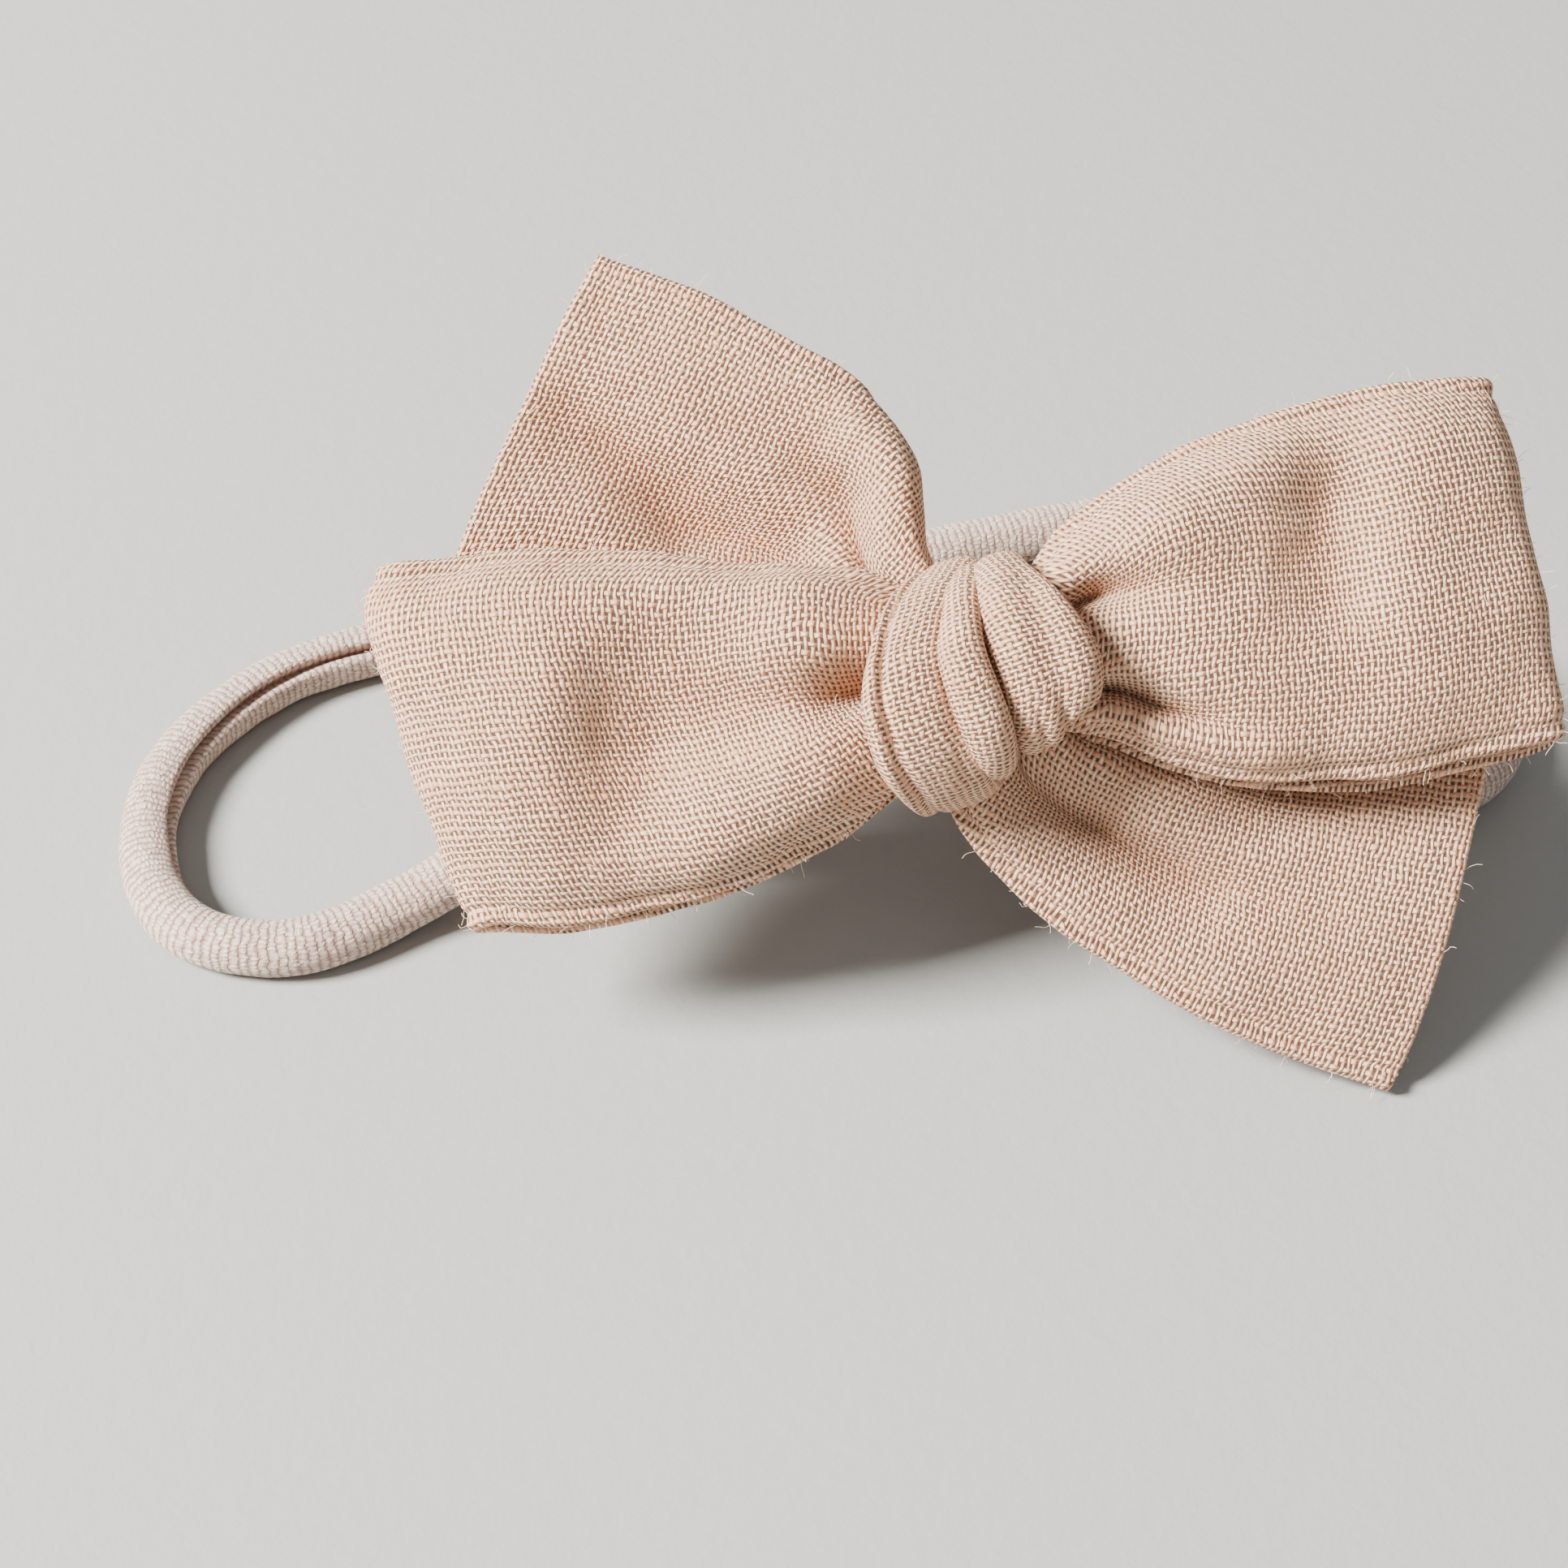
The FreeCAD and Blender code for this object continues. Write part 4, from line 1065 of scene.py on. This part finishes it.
def makeStrayFibres():
    tree, w, given = nodeTree("stray fibres", {
        "Per area": 3e5, "Length": 0.0015, "Thickness": 0.00002, "Bend": 0.0005, "Everywhere": 0.03},
        {"Seed": 1})
    edge = w.first("GeometryNodeInputNamedAttribute", {"Name": "edge"}, data_type="FLOAT")
    rooted = w.node("GeometryNodeDistributePointsOnFaces", {
        "Mesh": given["Geometry"], "Seed": given["Seed"],
        "Density": w.times(given["Per area"], w.plus(edge, given["Everywhere"]))}).outputs
    line = w.first("GeometryNodeCurvePrimitiveLine", {
        "Start": (0, 0, -fibres["root"] * mm), "End": w.join(0.0, 0.0, given["Length"])})
    parted = w.first("GeometryNodeResampleCurve", {"Curve": line, "Count": 6})
    lean = w.first("FunctionNodeRandomValue", {
        0: (-1.1, -1.1, -3.1), 1: (1.1, 1.1, 3.1), "Seed": given["Seed"]}, data_type="FLOAT_VECTOR")
    turned = w.first("FunctionNodeRotateRotation", {
        0: rooted["Rotation"], 1: w.first("FunctionNodeEulerToRotation", {0: lean})},
        rotation_space="LOCAL")
    size = w.node("FunctionNodeRandomValue", {
        2: 0.35, 3: 1.35, "Seed": w.plus(given["Seed"], 7.0)}, data_type="FLOAT").outputs[1]
    placed = w.first("GeometryNodeInstanceOnPoints", {
        "Points": rooted["Points"], "Instance": parted, "Rotation": turned, "Scale": size})
    single = w.first("GeometryNodeRealizeInstances", {0: placed})
    curl = w.node("ShaderNodeTexNoise", {"Scale": 620.0, "Detail": 1.0}).outputs["Color"]
    toSide = w.first("ShaderNodeVectorMath", {0: curl, 1: (0.5, 0.5, 0.5)}, operation="SUBTRACT")
    share = w.node("GeometryNodeSplineParameter").outputs["Factor"]
    amount = w.times(w.times(share, given["Bend"]), 4.0)
    bent = moved(w, single, "Offset", w.scaled(toSide, amount))
    madeReal(w, sweptThread(w, bent, given["Thickness"], given["Material"], 3))
    return tree


fibreMaterial, strayFibres = makeFibreMaterial(), makeStrayFibres()


def fibresOf(cloth, seed):
    return grown(cloth.name.replace("_cloth", "_fibres"), strayFibres, {
        "Per area": fibres["perArea"], "Length": fibres["length"] * mm,
        "Thickness": fibres["thickness"] * mm, "Bend": fibres["bend"] * mm,
        "Everywhere": fibres["everywhere"], "Seed": seed, "Material": fibreMaterial}, cloth.data)


# each lobe's cloth and its stray fibres take the place of the lobe's solid parts
for cloth, lobe in ((lowerLeftCloth, lowerLeftLoop), (upperRightCloth, upperRightLoop),
                    (upperLeftCloth, upperLeftTail), (lowerRightCloth, lowerRightTail)):
    fuzz = fibresOf(cloth, lobe["fibreSeed"])
    for piece in (cloth, fuzz):
        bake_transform(piece)
    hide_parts(*lobe["solids"])
    print(fuzz.name, len(fuzz.data.polygons))

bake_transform(bandPiece)
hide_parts("band_front_run", "band_left_bend", "band_back_run", "band_right_bend")

# the cloth that shows on the outside of each roll: the strip itself is wider, and folded in
for node, cloth in knotPieces.items():
    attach(cloth, "bow_knot")
    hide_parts(node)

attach(tackPiece, "bow_knot")
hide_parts("tack_stitches")
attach(joiningLap, "band_back")
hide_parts("band_joining_seam")
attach(joiningZigzag, "band_back")
print("pieces set on their bodies")

studio = {
    "tableReach": 1.6, "tableColour": rgb(157, 157, 153), "aim": (0, 0, 0.02),
    "sky": (0.88, 0.9, 0.92, 1), "skyStrength": 0.39,
    # place, size in metres, power in watts and colour of each lamp
    "lamps": {"window": ((-0.97, -0.26, 0.94), 0.42, 104.0, (1.0, 0.975, 0.94)),
              "room": ((0.25, -0.55, 0.7), 0.8, 1.2, (0.97, 0.98, 1.0))},
}


def makeStage():
    mesh = bpy.data.meshes.new("table")
    wide = studio["tableReach"]
    mesh.from_pydata([(-wide, -wide, 0), (wide, -wide, 0), (wide, wide, 0), (-wide, wide, 0)], [],
                     [(0, 1, 2, 3)])
    table = bpy.data.objects.new("table", mesh)
    bpy.context.collection.objects.link(table)
    paint, w, shader = newMaterial("pale table", {"Base Color": studio["tableColour"],
                                                  "Roughness": 0.85})
    grain = w.noise(w.node("ShaderNodeTexCoord").outputs["Object"], 420.0, 4.0, 0.6)
    w.wire(shader, {"Normal": raised(w, grain, 0.25, 0.4)})
    mesh.materials.append(paint)


def makeLamp(name, place, size, power, colour):
    lamp = bpy.data.lights.new(name, "AREA")
    lamp.size, lamp.energy, lamp.color = size, power, colour
    made = bpy.data.objects.new(name, lamp)
    made.location = place
    towards = Vector(studio["aim"]) - Vector(place)
    made.rotation_euler = towards.to_track_quat("-Z", "Y").to_euler()
    bpy.context.collection.objects.link(made)


def makeSky():
    world = bpy.data.worlds.new("soft room")
    world.use_nodes = True
    background = world.node_tree.nodes["Background"]
    background.inputs["Color"].default_value = studio["sky"]
    background.inputs["Strength"].default_value = studio["skyStrength"]
    bpy.context.scene.world = world


makeStage()
for name, lamp in studio["lamps"].items():
    makeLamp(name, *lamp)
makeSky()
print("stage and light set")
